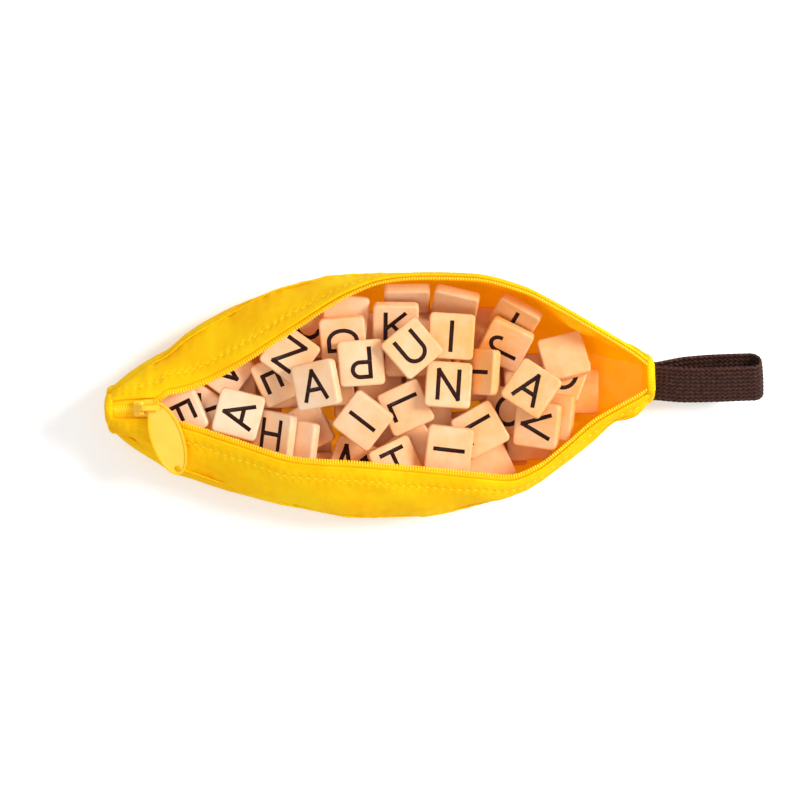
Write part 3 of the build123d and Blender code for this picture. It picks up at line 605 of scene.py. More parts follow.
BACK_RIM = [(-0.769, 0.046), (-0.699, 0.077), (-0.524, 0.237), (-0.306, 0.523),
            (-0.087, 0.812), (0.035, 0.905), (0.131, 0.925), (0.349, 0.900),
            (0.524, 0.794), (0.655, 0.638), (0.769, 0.481), (0.856, 0.358),
            (0.926, 0.250), (0.978, 0.154)]
RIM_RISE = [(-0.68, 0.05), (-0.38, 0.7), (-0.05, 1.0), (0.2, 1.0), (0.65, 0.5), (1.0, 0.0)]
SEAM_INSET = [(-1.0, 3.4), (-0.6, 3.0), (-0.35, 0.8), (1.0, 0.6)]
FRONT_LEAN = [(-0.978, 0), (-0.812, 0), (-0.720, 22), (-0.524, 20), (-0.087, 14),
              (0.349, 18), (0.524, 38), (0.655, 52), (0.926, 56), (0.978, 56)]
BACK_LEAN = [(-0.978, 0), (-0.812, 0), (-0.720, 8), (-0.524, 16), (-0.306, 34),
             (-0.087, 62), (0.131, 80), (0.524, 78), (0.769, 72), (0.926, 64), (0.978, 60)]


@dataclass
class Form:
    """The pouch's surfaces in millimetres, as the solids have them."""

    length: float = 229.0
    width: float = 104.0
    height: float = 46.0
    front_drop: float = 4.0
    panel: float = 1.3
    base: float = 1.6
    press: float = 0.5
    lining: float = 0.5
    layer_gap: float = 0.2
    cap: float = 2.6
    fold_back: float = 3.0
    seam_height: float = 20.0
    seam_rise: float = 4.0
    tip_lift: float = 12.0
    lift_start: float = 0.5          # the bottom leaves the table here, share of the half
    lift_power: float = 1.7
    flat_share: float = 0.57
    widest: float = 0.72             # height of the widest point, share of the seam's
    least_turn: float = math.radians(1.0)   # no wall's arc is flatter
    tape: float = 0.6
    tape_width: float = 12.0
    tooth_reach: float = 1.95
    mesh_reach: float = 0.95         # each row reaches this far past the chain's middle
    zip_height: float = 33.5
    zip_offset: float = -2.0
    closed_stretch: float = 10.5
    slider_length: float = 8.4
    slider_width: float = 7.4
    slider_flange: float = 0.5
    slider_room: float = 0.5
    divider_length: float = 2.4
    parting: float = 1.05

    def __post_init__(self) -> None:
        """Work out the stretches that the driving sizes give."""
        self.half = self.length / 2
        self.end = self.half - self.cap
        self.closed_end = -self.end + self.closed_stretch
        self.slider_nose = self.closed_end - self.slider_flange + self.slider_length
        self.tape_depth = self.panel + self.layer_gap
        self.tooth_depth = self.tape_depth + self.tape / 2
        self.lining_depth = self.tape_depth + self.tape + self.layer_gap

    def side_out(self, x: np.ndarray, side: Side) -> np.ndarray:
        """Distance of one side's widest point from the middle."""
        knots = FRONT_SIDE if side is Side.FRONT else BACK_SIDE
        return self.width / 2 * through(knots, x / self.half)

    def rim_y(self, x: np.ndarray, side: Side) -> np.ndarray:
        """Y of one row's tooth tips."""
        meshed = self.zip_offset - side.value * self.mesh_reach
        parted = self.zip_offset + side.value * self.parting
        run = [(-self.half, meshed), (self.closed_end, meshed),
               (self.slider_nose - self.divider_length, parted), (self.slider_nose, parted)]
        rim = FRONT_RIM if side is Side.FRONT else BACK_RIM
        return through(run + [(a * self.half, b * self.width / 2) for a, b in rim], x)

    def rim_z(self, x: np.ndarray, side: Side) -> np.ndarray:
        """Height of one rim."""
        top = self.height - (self.front_drop if side is Side.FRONT else 0.0)
        low, half = self.zip_height, self.half
        rise = [(place * half, low + share * (top - low)) for place, share in RIM_RISE]
        return through([(-half, low), (self.slider_nose, low), *rise], x)

    def seam_z(self, x: np.ndarray) -> np.ndarray:
        """Height of the seam between a side and the base."""
        return self.seam_height + self.seam_rise * np.abs(x / self.half) ** 3

    def keel_z(self, x: np.ndarray) -> np.ndarray:
        """Height of the bottom, which curves up at both tips."""
        along = np.abs(x) / self.half - self.lift_start
        share = np.clip(along / (1 - self.lift_start), 0.0, None)
        return self.tip_lift * share**self.lift_power - self.press

    def fold(self, x: np.ndarray, side: Side) -> np.ndarray:
        """Distance of the folded panel edge from the tooth tips."""
        reach = side.value * (self.rim_y(x, side) - self.zip_offset)
        return np.maximum(self.fold_back, self.slider_width / 2 + self.slider_room - reach)


class Lip:
    """One side's arcs at many places along the pouch, from the rim down to the seam.

    The arc at each x is worked out in the plane across the pouch from the seam,
    the rim and the lean at the rim.
    """

    def __init__(self, form: Form, x: np.ndarray, side: Side) -> None:
        """Work out centre, radius and length of each arc."""
        self.x, self.side = x, side
        inset = through(SEAM_INSET, x / form.half)
        seam = (inset - form.side_out(x, side), form.seam_z(x))
        rim = (-side.value * form.rim_y(x, side), form.rim_z(x, side))
        knots = FRONT_LEAN if side is Side.FRONT else BACK_LEAN
        run, rise = rim[0] - seam[0], rim[1] - seam[1]
        chord, tilt = np.hypot(run, rise), np.arctan2(rise, run)
        wanted = np.radians(through(knots, x / form.half))
        half_turn = np.maximum(tilt - wanted, form.least_turn)
        self.lean = tilt - half_turn
        self.radius = chord / (2 * np.sin(half_turn))
        self.length = self.radius * 2 * half_turn
        self.centre = (rim[0] + self.radius * np.sin(self.lean),
                       rim[1] - self.radius * np.cos(self.lean))

    def point(self, back: np.ndarray, depth: np.ndarray | float) -> np.ndarray:
        """Places that lie back along the arcs from the rim and depth inside them.

        Args:
            back: (n, m) or (n,) distances along the outer arc.
            depth: distances below it.

        Returns:
            (n, m, 3) or (n, 3) places in millimetres.
        """
        def wide(values: np.ndarray) -> np.ndarray:
            return values[:, None] if np.ndim(back) == 2 else values
        angle = wide(self.lean) + back / wide(self.radius)
        reach = wide(self.radius) - depth
        inward = wide(self.centre[0]) - reach * np.sin(angle)
        return np.stack([np.broadcast_to(wide(self.x), inward.shape),
                         -self.side.value * inward,
                         wide(self.centre[1]) + reach * np.cos(angle)], axis=-1)

    def inside(self, length: float, depth: float) -> np.ndarray:
        """Stretch of the outer arc above one that is this long at a depth."""
        return length * self.radius / (self.radius - depth)


def base_arc(form: Form, lip: Lip, depth: float, count: int) -> np.ndarray:
    """The rounded corner of the base under one side, from its seam to its flat edge.

    It is the arc of the circle through the seam, the widest point and the flat edge.

    Args:
        form: the pouch's surfaces.
        lip: the arcs of the side above.
        depth: distance inside the outer surface.
        count: points along the corner.

    Returns:
        (n, count, 3) places in millimetres.
    """
    side, x = lip.side.value, lip.x
    seam = lip.point(lip.length, depth)
    keel, out = form.keel_z(x), form.side_out(x, lip.side)
    y = np.stack([side * seam[:, 1], out - depth, form.flat_share * out])
    z = np.stack([seam[:, 2], keel + form.widest * (form.seam_z(x) - keel), keel + depth])
    square = y * y + z * z
    turned_y, turned_z = (np.roll(c, -1, 0) - np.roll(c, 1, 0) for c in (y, z))
    area = (y * turned_z).sum(0)
    middle = ((square * turned_z).sum(0) / (2 * area),
              -(square * turned_y).sum(0) / (2 * area))
    angle = np.unwrap(np.arctan2(z - middle[1], y - middle[0]), axis=0)
    radius = np.hypot(y[0] - middle[0], z[0] - middle[1])
    share = np.linspace(0.0, 1.0, count)
    turn = angle[0][:, None] + (angle[2] - angle[0])[:, None] * share
    across = middle[0][:, None] + radius[:, None] * np.cos(turn)
    height = middle[1][:, None] + radius[:, None] * np.sin(turn)
    return np.stack([np.broadcast_to(x[:, None], across.shape), side * across, height],
                    axis=-1)


def base_sheet(form: Form, lips: dict[Side, Lip], depth: float, corner: int, flat: int
               ) -> np.ndarray:
    """The base from the front seam to the back seam at one depth.

    Args:
        form: the pouch's surfaces.
        lips: the arcs of both sides at the same places.
        depth: distance inside the outer surface.
        corner: points along each rounded corner.
        flat: points across the flat bottom.

    Returns:
        (n, 2 * corner + flat, 3) places in millimetres.
    """
    front = base_arc(form, lips[Side.FRONT], depth, corner)
    back = base_arc(form, lips[Side.BACK], depth, corner)
    share = np.linspace(0.0, 1.0, flat + 2)[1:-1][None, :, None]
    bottom = front[:, -1:] * (1 - share) + back[:, -1:] * share
    return np.concatenate([front, bottom, back[:, ::-1]], axis=1)


def laid_flat(sheet: np.ndarray) -> np.ndarray:
    """Flat cloth coordinates of a grid: distance along the pouch and along each section."""
    steps = np.linalg.norm(np.diff(sheet, axis=1), axis=2)
    run = np.concatenate([np.zeros((len(sheet), 1)), np.cumsum(steps, axis=1)], axis=1)
    run -= run.mean(axis=1, keepdims=True)
    return np.stack([sheet[..., 0], run], axis=-1)


def run_along(line: np.ndarray) -> np.ndarray:
    """Distance of each point of a line from its first, measured along it."""
    return np.concatenate([[0.0], np.cumsum(np.linalg.norm(np.diff(line, axis=0), axis=1))])


def spaced(line: np.ndarray, pitch: float, start: float) -> np.ndarray:
    """Places at even distances along a line of points.

    Args:
        line: (n, 3) close points along it.
        pitch: distance from place to place.
        start: distance of the first place from the line's start.

    Returns:
        The x of each place.
    """
    run = run_along(line)
    return np.interp(np.arange(start, run[-1] - start, pitch), run, line[:, 0])


def frames_along(points: np.ndarray, pointing: np.ndarray) -> np.ndarray:
    """Axes of things set out along a line: x the way they point, y along the line."""
    along = unit(np.gradient(points, axis=0))
    pointing = unit(pointing - along * (along * pointing).sum(1, keepdims=True))
    return np.stack([pointing, along, np.cross(pointing, along)], axis=1)


# ------------------------------------------------------------------ cloth
STITCH_GROOVE = Ridge(-0.24, 0.0, 0.75)
HEM = Ridge(0.3, -3.2, 1.9)          # turned-in edge between the fold and the stitching
PUCKER = Ridge(0.13, 1.5, 1.1)       # on both sides of the stitching
TAPE_CORD = Ridge(0.25, 1.3, 0.45)
SIDE_GATHER = Ripple(0.42, 7.0, 40, (1.0, 0.2))
SIDE_SOFT = Ripple(0.65, 34.0, 47, (1.0, 0.6))
TIP_PULL = Ripple(0.75, 9.0, 43, (0.35, 1.0))
BASE_GATHER = Ripple(0.35, 7.0, 61, (1.0, 0.2))
BASE_SOFT = Ripple(0.5, 30.0, 62)
PIPING_UNEVEN = Ripple(0.07, 9.0, 81, (1.0, 0.0))   # share of its thickness


@dataclass
class Cloth:
    """Canvas, lining, seams and stitching of the pouch, sizes in millimetres."""

    form: Form
    wardrobe: Wardrobe
    columns: int = 420
    rows: int = 56
    stitch_back: float = 9.2         # the top stitching behind the tooth tips
    stitch_pitch: float = 3.3
    stitch_length: float = 2.0
    stitch_radius: float = 0.26
    stitch_rise: float = 0.096       # middle of the thread over the groove's floor
    stitch_top: float = 0.1          # and no further than this over the smooth arc
    stitch_ends: float = 0.22        # both ends of each stitch go down this far
    waver: tuple = ((0.35, 9.0), (0.2, 3.7))   # heights and lengths, per radian
    crowding: float = 1.35           # rows lie closer together beside the fold
    gather_reach: float = 4.5        # how far the seam's gathers run up the side
    base_reach: float = 5.0          # and over the base
    piping: float = 0.45
    piping_out: float = 0.15
    film: float = 1.0                # depth over which the lining's creases are scaled
    creased: tuple[float, float] = (0.28, 2.3)   # where tiles press on it, where it is bare
    bare_from: float = 70.0          # no tiles press on the lining beyond here
    end_turn_in: float = 1.6         # the tip's cloth starts this far behind the tooth tips
    cap_shares: tuple = ((-1.2, 1.015), (0.0, 1.03), (0.8, 1.03), (1.5, 0.99), (2.0, 0.93),
                         (2.35, 0.84), (2.55, 0.70), (2.6, 0.50), (2.6, 0.25))
    cap_hub: float = 0.3             # radius of the small round middle of the tip

    def __post_init__(self) -> None:
        """Work out both sides' arcs once."""
        x = np.linspace(-self.form.end, self.form.end, self.columns)
        self.lips = {side: Lip(self.form, x, side) for side in Side}

    def stitch_line(self, x: np.ndarray) -> np.ndarray:
        """Distance of the top stitching from the tooth tips, which wavers a little."""
        return self.stitch_back + sum(high * np.sin(x / long) for high, long in self.waver)

    def relief(self, lip: Lip, back: np.ndarray) -> np.ndarray:
        """Height of the handled canvas over its smooth arc.

        Args:
            lip: arcs of the side.
            back: (n, m) distances from the tooth tips.

        Returns:
            (n, m) heights, outwards positive.
        """
        x, side = lip.x[:, None], lip.side.value
        away = back - self.stitch_line(lip.x)[:, None]
        below = lip.length[:, None] - back
        stitched = np.cos(2 * math.pi * x / self.stitch_pitch)
        gather = SIDE_GATHER.over(x, back, side) * np.exp(-below / self.gather_reach)
        soft = SIDE_SOFT.over(x, back, side) * smooth_step(away, 0.0, 7.0)
        pulled = (TIP_PULL.over(x, back, side) * smooth_step(np.abs(x), 70.0, 108.0)
                  * smooth_step(away, -6.0, 2.0))
        return (STITCH_GROOVE.over(away) + HEM.over(away)
                + PUCKER.over(np.abs(away)) * stitched + gather + soft + pulled)

    def panel(self, side: Side) -> None:
        """One canvas side, folded over at the zip and stitched down."""
        form, lip = self.form, self.lips[side]
        start = form.fold(lip.x, side)[:, None]
        share = np.linspace(0.0, 1.0, self.rows)[None, :] ** self.crowding
        back = start + (lip.length[:, None] - start) * share
        radius = form.panel / 2
        left = np.clip(radius - (back - start), 0, radius)
        round_off = radius - np.sqrt(radius**2 - left**2)
        outer = lip.point(back, round_off - self.relief(lip, back))
        inner = lip.point(back, form.panel - round_off)
        flat = np.stack([np.broadcast_to(lip.x[:, None], back.shape), back], axis=-1)
        name = side.name.lower()
        piece = shell(f"canvas_{name}", outer, inner, flat)
        self.wardrobe.dress(piece, CANVAS)
        settle_piece(piece, "pouch", "canvas", f"pouch_{name}_panel")

    def base(self) -> None:
        """Bottom canvas, gathered a little along both seams and flat on the table."""
        form = self.form
        outer, inner = (base_sheet(form, self.lips, depth, corner=26, flat=22)
                        for depth in (0.0, form.base))
        flat = laid_flat(outer)
        x, v = outer[..., 0], flat[..., 1]
        edge = v[:, -1:] - np.abs(v)
        gather = BASE_GATHER.over(x, v) * np.exp(-edge / self.base_reach)
        soft = BASE_SOFT.over(x, v) * smooth_step(outer[..., 2], 1.0, 8.0)
        outer = outer + unit(outer - inner) * (gather + soft)[..., None]
        outer[..., 2] = np.maximum(outer[..., 2], 0.0)
        piece = shell("canvas_base", outer, inner, flat)
        self.wardrobe.dress(piece, CANVAS)
        settle_piece(piece, "pouch", "canvas", "pouch_base_panel")

    def lining(self) -> None:
        """Thin glossy inner bag, creased where nothing presses on it."""
        form = self.form
        sheets = []
        for depth in (form.lining_depth, form.lining_depth + self.film):
            parts = []
            for side in Side:
                lip = self.lips[side]
                top = form.fold_back + 0.6
                share = np.linspace(0.0, 1.0, 26)[None, :-1]
                arc = lip.point(top + (lip.length[:, None] - top) * share, depth)
                parts.append(arc if side is Side.FRONT else arc[:, ::-1])
            parts.insert(1, base_sheet(form, self.lips, depth, corner=16, flat=14))
            sheets.append(np.concatenate(parts, axis=1)[1:-1])
        outer, inward = sheets[0], sheets[1] - sheets[0]
        flat = laid_flat(outer)
        x, v = outer[..., 0], flat[..., 1]
        bare = smooth_step(np.abs(x), self.bare_from - 8.0, self.bare_from + 14.0)
        deep = smooth_step(np.abs(x), form.end - 2.0, self.bare_from + 12.0)
        film = creases(x, v, 26.0, 71) + 0.5 * creases(x, v, 11.0, 72)
        top = np.minimum(v - v[:, :1], v[:, -1:] - v)
        pressed, loose = self.creased
        rise = pressed * (film + 1.0) * (1 - bare) + loose * (film + 1.1) * bare * deep
        rise *= smooth_step(top, 0.5, 7.0)
        outer = outer + inward * rise[..., None]
        piece = shell("lining_bag", outer, outer + inward * form.lining, flat)
        self.wardrobe.dress(piece, LINING)
        settle_piece(piece, "pouch", "lining_cloth", "pouch_lining")

    def end_ring(self, x: float, depth: float = 0.0) -> np.ndarray:
        """Outline of the closed pouch's section at one place, from rim round to rim."""
        form, first = self.form, self.end_turn_in
        place = np.array([x])
        lips = {side: Lip(form, place, side) for side in Side}
        down = np.linspace(0.0, 1.0, 12)[None, :]
        arcs = [lip.point(first + (lip.length[:, None] - first) * down, depth)
                for lip in lips.values()]
        parts = [arcs[0][:, :-1], base_sheet(form, lips, depth, corner=9, flat=4),
                 arcs[1][:, -2::-1]]
        return np.concatenate(parts, axis=1)[0]

    def binding(self, name: str, way: int) -> None:
        """Turned-in cloth that closes one tip, a little wrinkled.

        Args:
            name: which end.
            way: -1 at the zip's closed end, 1 at the hang loop's end.
        """
        form = self.form
        rings = []
        for out, share in self.cap_shares:
            ring = self.end_ring(way * min(form.end + max(out, 0.0), form.half))
            middle = (ring.max(axis=0) + ring.min(axis=0)) / 2
            turn = np.arctan2(ring[:, 2] - middle[2], ring[:, 1] - middle[1])
            wrinkle = 1 + 0.03 * np.sin(8 * turn + 2 * out + way) * (out > 0)
            ring = middle + (ring - middle) * (share * wrinkle)[:, None]
            ring[:, 0] = way * (form.end + out)
            rings.append(ring)
        count = len(rings[0])
        hub = rings[-1].copy()
        even = math.pi / 2 + 2 * math.pi * (np.arange(count) + 0.5) / count
        hub[:, 1] = middle[1] + self.cap_hub * np.cos(even)
        hub[:, 2] = middle[2] + self.cap_hub * np.sin(even)
        rings.append(hub)
        points, faces = np.concatenate(rings) * MM, tube_faces(len(rings), count)
        piece = new_object(f"binding_{name}", points, outward(points, faces))
        give_uv(piece, points[:, 1:])
        self.wardrobe.dress(piece, CANVAS, LINING)
        first = (len(rings) - 1) * count
        inner_wall = np.zeros(len(faces), dtype=np.int32)
        inner_wall[first:first + count // 2 - 1] = 1
        piece.data.polygons.foreach_set("material_index", inner_wall)
        settle_piece(piece, "pouch", "canvas", f"{name}_end_cap")

    def piping_line(self, side: Side) -> None:
        """Raised seam between one side and the base, drawn in at every stitch."""
        lip = self.lips[side]
        line = lip.point(lip.length, -self.piping_out)
        axes = frames_along(line, line - lip.point(lip.length, 1.0))
        corners = 10
        turn = 2 * math.pi * np.arange(corners) / corners
        size = self.piping * (1 + 0.10 * np.cos(2 * math.pi * lip.x / self.stitch_pitch)
                              + PIPING_UNEVEN.over(lip.x, lip.x))
        size[[0, -1]] *= 0.5
        across = np.cos(turn)[None, :, None] * axes[:, None, 0]
        round_ = across + np.sin(turn)[None, :, None] * axes[:, None, 2]
        points = (line[:, None] + size[:, None, None] * round_).reshape(-1, 3) * MM
        piece = new_object(f"seam_{side.name.lower()}", points,
                           outward(points, tube_faces(len(line), corners)))
        flat = np.stack([np.repeat(lip.x, corners), np.tile(turn * self.piping, len(line))],
                        axis=-1)
        give_uv(piece, flat * MM)
        self.wardrobe.dress(piece, CANVAS)
        settle_piece(piece, "pouch", "canvas")

    def stitches(self, side: Side) -> None:
        """Top stitching that holds the folded edge to the zip tape."""
        lip = self.lips[side]
        line = lip.point(self.stitch_line(lip.x), 0.0)
        x = spaced(line, self.stitch_pitch, 4.0)
        places = Lip(self.form, x, side)
        back = self.stitch_line(x)
        depth = -self.relief(places, back[:, None])[:, 0] - self.stitch_rise
        points = places.point(back, np.maximum(depth, -self.stitch_top))
        axes = frames_along(points, points - places.point(back, 1.0))
        half, low = self.stitch_length / 2, -self.stitch_ends
        path = np.array([[-half, low], [-0.8 * half, 0.0], [0.8 * half, 0.0], [half, low]])
        turned = np.stack([axes[:, 1], axes[:, 2], axes[:, 0]], axis=1)
        piece = copies(f"stitches_{side.name.lower()}", rod(path, self.stitch_radius, 1.25),
                       points, turned)
        self.wardrobe.dress(piece, THREAD)
        settle_piece(piece, "pouch", "canvas")

    def build(self) -> None:
        """Make every cloth piece."""
        for side in Side:
            self.panel(side)
            self.piping_line(side)
            self.stitches(side)
        self.base()
        self.lining()
        self.binding("left", -1)
        self.binding("right", 1)


# ------------------------------------------------------------------ zip
HARDWARE = {
    "slider_body": (PAINTED, 0.22),
    "link_pin": (STEEL, 0.12),
    "pull_link": (PAINTED, 0.3),
    "pull_tag": (TAG, 0.3),
}


@dataclass
class Zip:
    """Tapes, coils, slider and pull, sizes in millimetres."""

    form: Form
    wardrobe: Wardrobe
    pitch: float = 1.1
    coil: float = 0.32
    coil_rise: float = 0.29
    coil_spread: float = 1.5         # of each turn along the chain, against its height
    coil_clear: float = 0.12         # the heads stop short of the divider in the slider
    tape_start: float = 0.9          # the tape reaches this far under the coil

    def tape(self, side: Side) -> None:
        """Woven tape under one folded edge, with a corded ridge beside the coil."""
        form = self.form
        lip = Lip(form, np.linspace(-form.end, form.end, 400), side)
        start = lip.inside(form.tooth_reach, form.tooth_depth) - self.tape_start
        end = np.minimum(form.tape_width, 0.8 * lip.length)
        share = np.linspace(0.0, 1.0, 22)[None, :] ** 1.3
        back = start[:, None] + (end - start)[:, None] * share
        outer = lip.point(back, form.tape_depth - TAPE_CORD.over(back - start[:, None]))
        inner = lip.point(back, form.tape_depth + form.tape)
        flat = np.stack([np.broadcast_to(lip.x[:, None], back.shape), back], axis=-1)
        name = side.name.lower()
        piece = shell(f"tape_{name}", outer, inner, flat)
        self.wardrobe.dress(piece, TAPE)
        settle_piece(piece, "pouch", "tape_cloth", f"zip_tape_{name}")

    def teeth(self, side: Side) -> None:
        """Moulded coil: one flattened turn after the other along the tape's edge."""
        form = self.form
        lip = Lip(form, np.linspace(-form.end, form.end, 900), side)
        line = lip.point(0.0, form.tooth_depth)
        start = self.pitch * (0.75 if side is Side.FRONT else 1.25)
        x = spaced(line, self.pitch, start)
        places = Lip(form, x, side)
        tips = places.point(0.0 * x, form.tooth_depth)
        feet = places.point(places.inside(form.tooth_reach, form.tooth_depth),
                            form.tooth_depth)
        axes = frames_along(tips, tips - feet)
        head = form.tooth_reach - self.coil - self.coil_clear
        upper = np.array([[-0.9, 0.6], [-0.1, 1.0], [0.9, 1.0], [head - 0.3, 0.72],
                          [head, 0.0]])
        upper[:, 1] *= self.coil_rise
        path = np.concatenate([upper, upper[-2::-1] * np.array([1, -1])])
        piece = copies(f"coil_{side.name.lower()}", rod(path, self.coil, self.coil_spread),
                       feet, axes)
        self.wardrobe.dress(piece, TEETH)
        settle_piece(piece, "pouch", "tooth_plastic", f"zip_teeth_{side.name.lower()}")

    def hardware(self) -> None:
        """Round the edges of the slider, pin, link and tag, and finish them."""
        for node, (finish, bevel) in HARDWARE.items():
            piece = bpy.data.objects[node]
            weld = piece.modifiers.new("weld", "WELD")
            weld.merge_threshold = 1e-5
            edge = piece.modifiers.new("edge", "BEVEL")
            edge.width, edge.segments, edge.limit_method = bevel * MM, 3, "ANGLE"
            edge.angle_limit = math.radians(40)
            edge.use_clamp_overlap = True
            piece.data.polygons.foreach_set("use_smooth", [True] * len(piece.data.polygons))
            smooth = piece.modifiers.new("flat", "WEIGHTED_NORMAL")
            smooth.keep_sharp = True
            self.wardrobe.dress(piece, finish)
            LOG.info("%s keeps its solid", node)

    def build(self) -> None:
        """Make every zip piece."""
        for side in Side:
            self.tape(side)
            self.teeth(side)
        self.hardware()


# ------------------------------------------------------------------ hang loop
@dataclass
class HangLoop:
    """Folded band of braided webbing, sizes in millimetres."""

    form: Form
    wardrobe: Wardrobe
    width: float = 19.5
    thickness: float = 1.5
    tilt: float = 43.5
    height: float = 22.0
    offset: float = 0.8
    end: float = 41.0                # centre of the round end
    belly: float = 4.2
    cell: float = 1.54               # between the braid's diagonal lines
    relief: float = 0.30
    slant: float = 0.11              # the round end's lower edge reaches further out
    sewn_in: float = 2.2             # both ends reach this far into the tip
    bend_length: float = 12.0        # a length along the webbing
    edge_start: float = 0.7          # the band thins from here to its edge
    edge_width: float = 0.75
    curl: float = 0.35               # of both edges, to and fro along the band
    diagonal: float = 1.414
    rise: tuple = ((-2.2, 0.82), (0.5, 0.85), (6.0, 1.9), (13.5, 3.2), (28.0, 4.0))
    grid: tuple[int, int] = (440, 82)

    def middle(self) -> np.ndarray:
        """Middle line of the band: distance out and height over its plane."""
        out = np.linspace(-self.sewn_in, self.end, 120)
        rise = through([*self.rise, (self.end, self.belly)], out)
        turn = np.linspace(math.pi / 2, -math.pi / 2, 26)[1:-1]
        bend = np.stack([self.end + self.belly * np.cos(turn),
                         self.belly * np.sin(turn)], axis=-1)
        upper = np.stack([out, rise], axis=-1)
        lower = np.stack([out[::-1], -rise[::-1]], axis=-1)
        return np.concatenate([upper, bend, lower])

    def build(self) -> None:
        """Make the band, with the raised cells of its braid."""
        line = self.middle()
        run = run_along(line)
        even = np.linspace(0, run[-1], self.grid[0])
        line = np.stack([np.interp(even, run, line[:, k]) for k in range(2)], axis=-1)
        along = unit(np.gradient(line, axis=0))
        normal = np.stack([-along[:, 1], along[:, 0]], axis=-1)
        across = np.linspace(-1, 1, self.grid[1]) * self.width / 2
        u, v = np.meshgrid(even, across, indexing="ij")
        flat = np.stack([u + v, u - v], axis=-1) / self.diagonal
        braid = np.abs(np.sin(math.pi * flat / self.cell)).prod(axis=-1)
        past = (np.abs(v) - self.width / 2 + self.edge_start) / self.edge_width
        edge = np.sqrt(np.clip(1 - past.clip(0) ** 2, 0, 1))
        tilt = math.radians(self.tilt)
        wide = np.array([0.0, math.sin(math.radians(90) - tilt), math.sin(tilt)])
        high = np.array([0.0, -wide[2], wide[1]])
        curl = self.curl * np.cos(u / 13.0) * (v / self.width * 2) ** 2
        grids = []
        for way in (1, -1):
            depth = way * edge * (self.thickness / 2 - self.relief + self.relief * braid)
            place = line[:, None, :] + normal[:, None, :] * (depth + curl)[..., None]
            out = place[..., :1]
            out = out - self.slant * v[..., None] * smooth_step(out, 5, 40)
            grids.append(np.array([self.form.half, self.offset, self.height])
                         + out * np.array([1.0, 0.0, 0.0])
                         + v[..., None] * wide + place[..., 1:] * high)
        piece = shell("loop_band", *grids, flat)
        self.wardrobe.dress(piece, WEBBING)
        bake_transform(piece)
        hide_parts("hang_loop", "loop_tails")
        LOG.info("loop_band bends from the pouch to the loop")


# ------------------------------------------------------------------ tiles
def bow(cx: float, cy: float, rx: float, ry: float, start: float, end: float
        ) -> list[tuple[float, float]]:
    """Points of part of an ellipse, angles in degrees."""
    steps = max(6, int(abs(end - start) // 15))
    angles = [math.radians(start + (end - start) * k / steps) for k in range(steps + 1)]
    return [(cx + rx * math.cos(a), cy + ry * math.sin(a)) for a in angles]


STROKES = {
    "A": [[(0, 0), (0.41, 1), (0.82, 0)], [(0.15, 0.34), (0.67, 0.34)]],
    "C": [bow(0.42, 0.5, 0.42, 0.5, 48, 312)],
    "D": [[(0, 0), (0, 1), (0.3, 1), *bow(0.34, 0.5, 0.38, 0.5, 84, -84), (0.3, 0),
           (0, 0)]],
    "E": [[(0.62, 1), (0, 1), (0, 0), (0.62, 0)], [(0, 0.52), (0.55, 0.52)]],
    "F": [[(0.6, 1), (0, 1), (0, 0)], [(0, 0.52), (0.52, 0.52)]],
    "H": [[(0, 0), (0, 1)], [(0.72, 0), (0.72, 1)], [(0, 0.52), (0.72, 0.52)]],
    "I": [[(0, 0), (0, 1)]],
    "J": [[(0.52, 1), (0.52, 0.28), *bow(0.27, 0.27, 0.25, 0.27, -10, -180)]],
    "K": [[(0, 0), (0, 1)], [(0.68, 1), (0.04, 0.42)], [(0.22, 0.58), (0.72, 0)]],
    "L": [[(0, 1), (0, 0), (0.58, 0)]],
    "M": [[(0, 0), (0, 1), (0.44, 0.22), (0.88, 1), (0.88, 0)]],
    "N": [[(0, 0), (0, 1), (0.72, 0), (0.72, 1)]],
    "O": [bow(0.46, 0.5, 0.46, 0.5, 90, 450)],
    "P": [[(0, 0), (0, 1), (0.34, 1), *bow(0.36, 0.74, 0.26, 0.26, 84, -84), (0.32, 0.48),
           (0, 0.48)]],
    "T": [[(0, 1), (0.8, 1)], [(0.4, 1), (0.4, 0)]],
    "U": [[(0, 1), (0, 0.34), *bow(0.36, 0.34, 0.36, 0.34, 190, 350), (0.72, 0.34),
           (0.72, 1)]],
    "V": [[(0, 1), (0.41, 0), (0.82, 1)]],
    "X": [[(0, 0), (0.76, 1)], [(0, 1), (0.76, 0)]],
    "Z": [[(0, 1), (0.7, 1), (0, 0), (0.7, 0)]],
}

LETTERED = {
    "c_back": ("C", 18), "i_back": ("I", -32), "d": ("D", 92), "k": ("K", -3),
    "j": ("J", -119), "o": ("O", -22), "c_right": ("C", -12), "i_steep": ("I", 84),
    "x_left": ("X", -37), "v_left": ("V", 50), "f_left": ("F", -67), "a_steep": ("A", 9),
    "e": ("E", -68), "z": ("Z", -38), "a_left": ("A", 73), "h": ("H", -11), "m": ("M", -24),
    "t_front": ("T", 23), "l": ("L", -68), "l_right": ("L", -63), "p": ("P", 182),
    "i_upper": ("I", -6), "u": ("U", 38), "n": ("N", -6), "i_centre": ("I", 50),
    "v_right": ("V", -99), "a_right": ("A", -36), "i_front": ("I", 81),
}


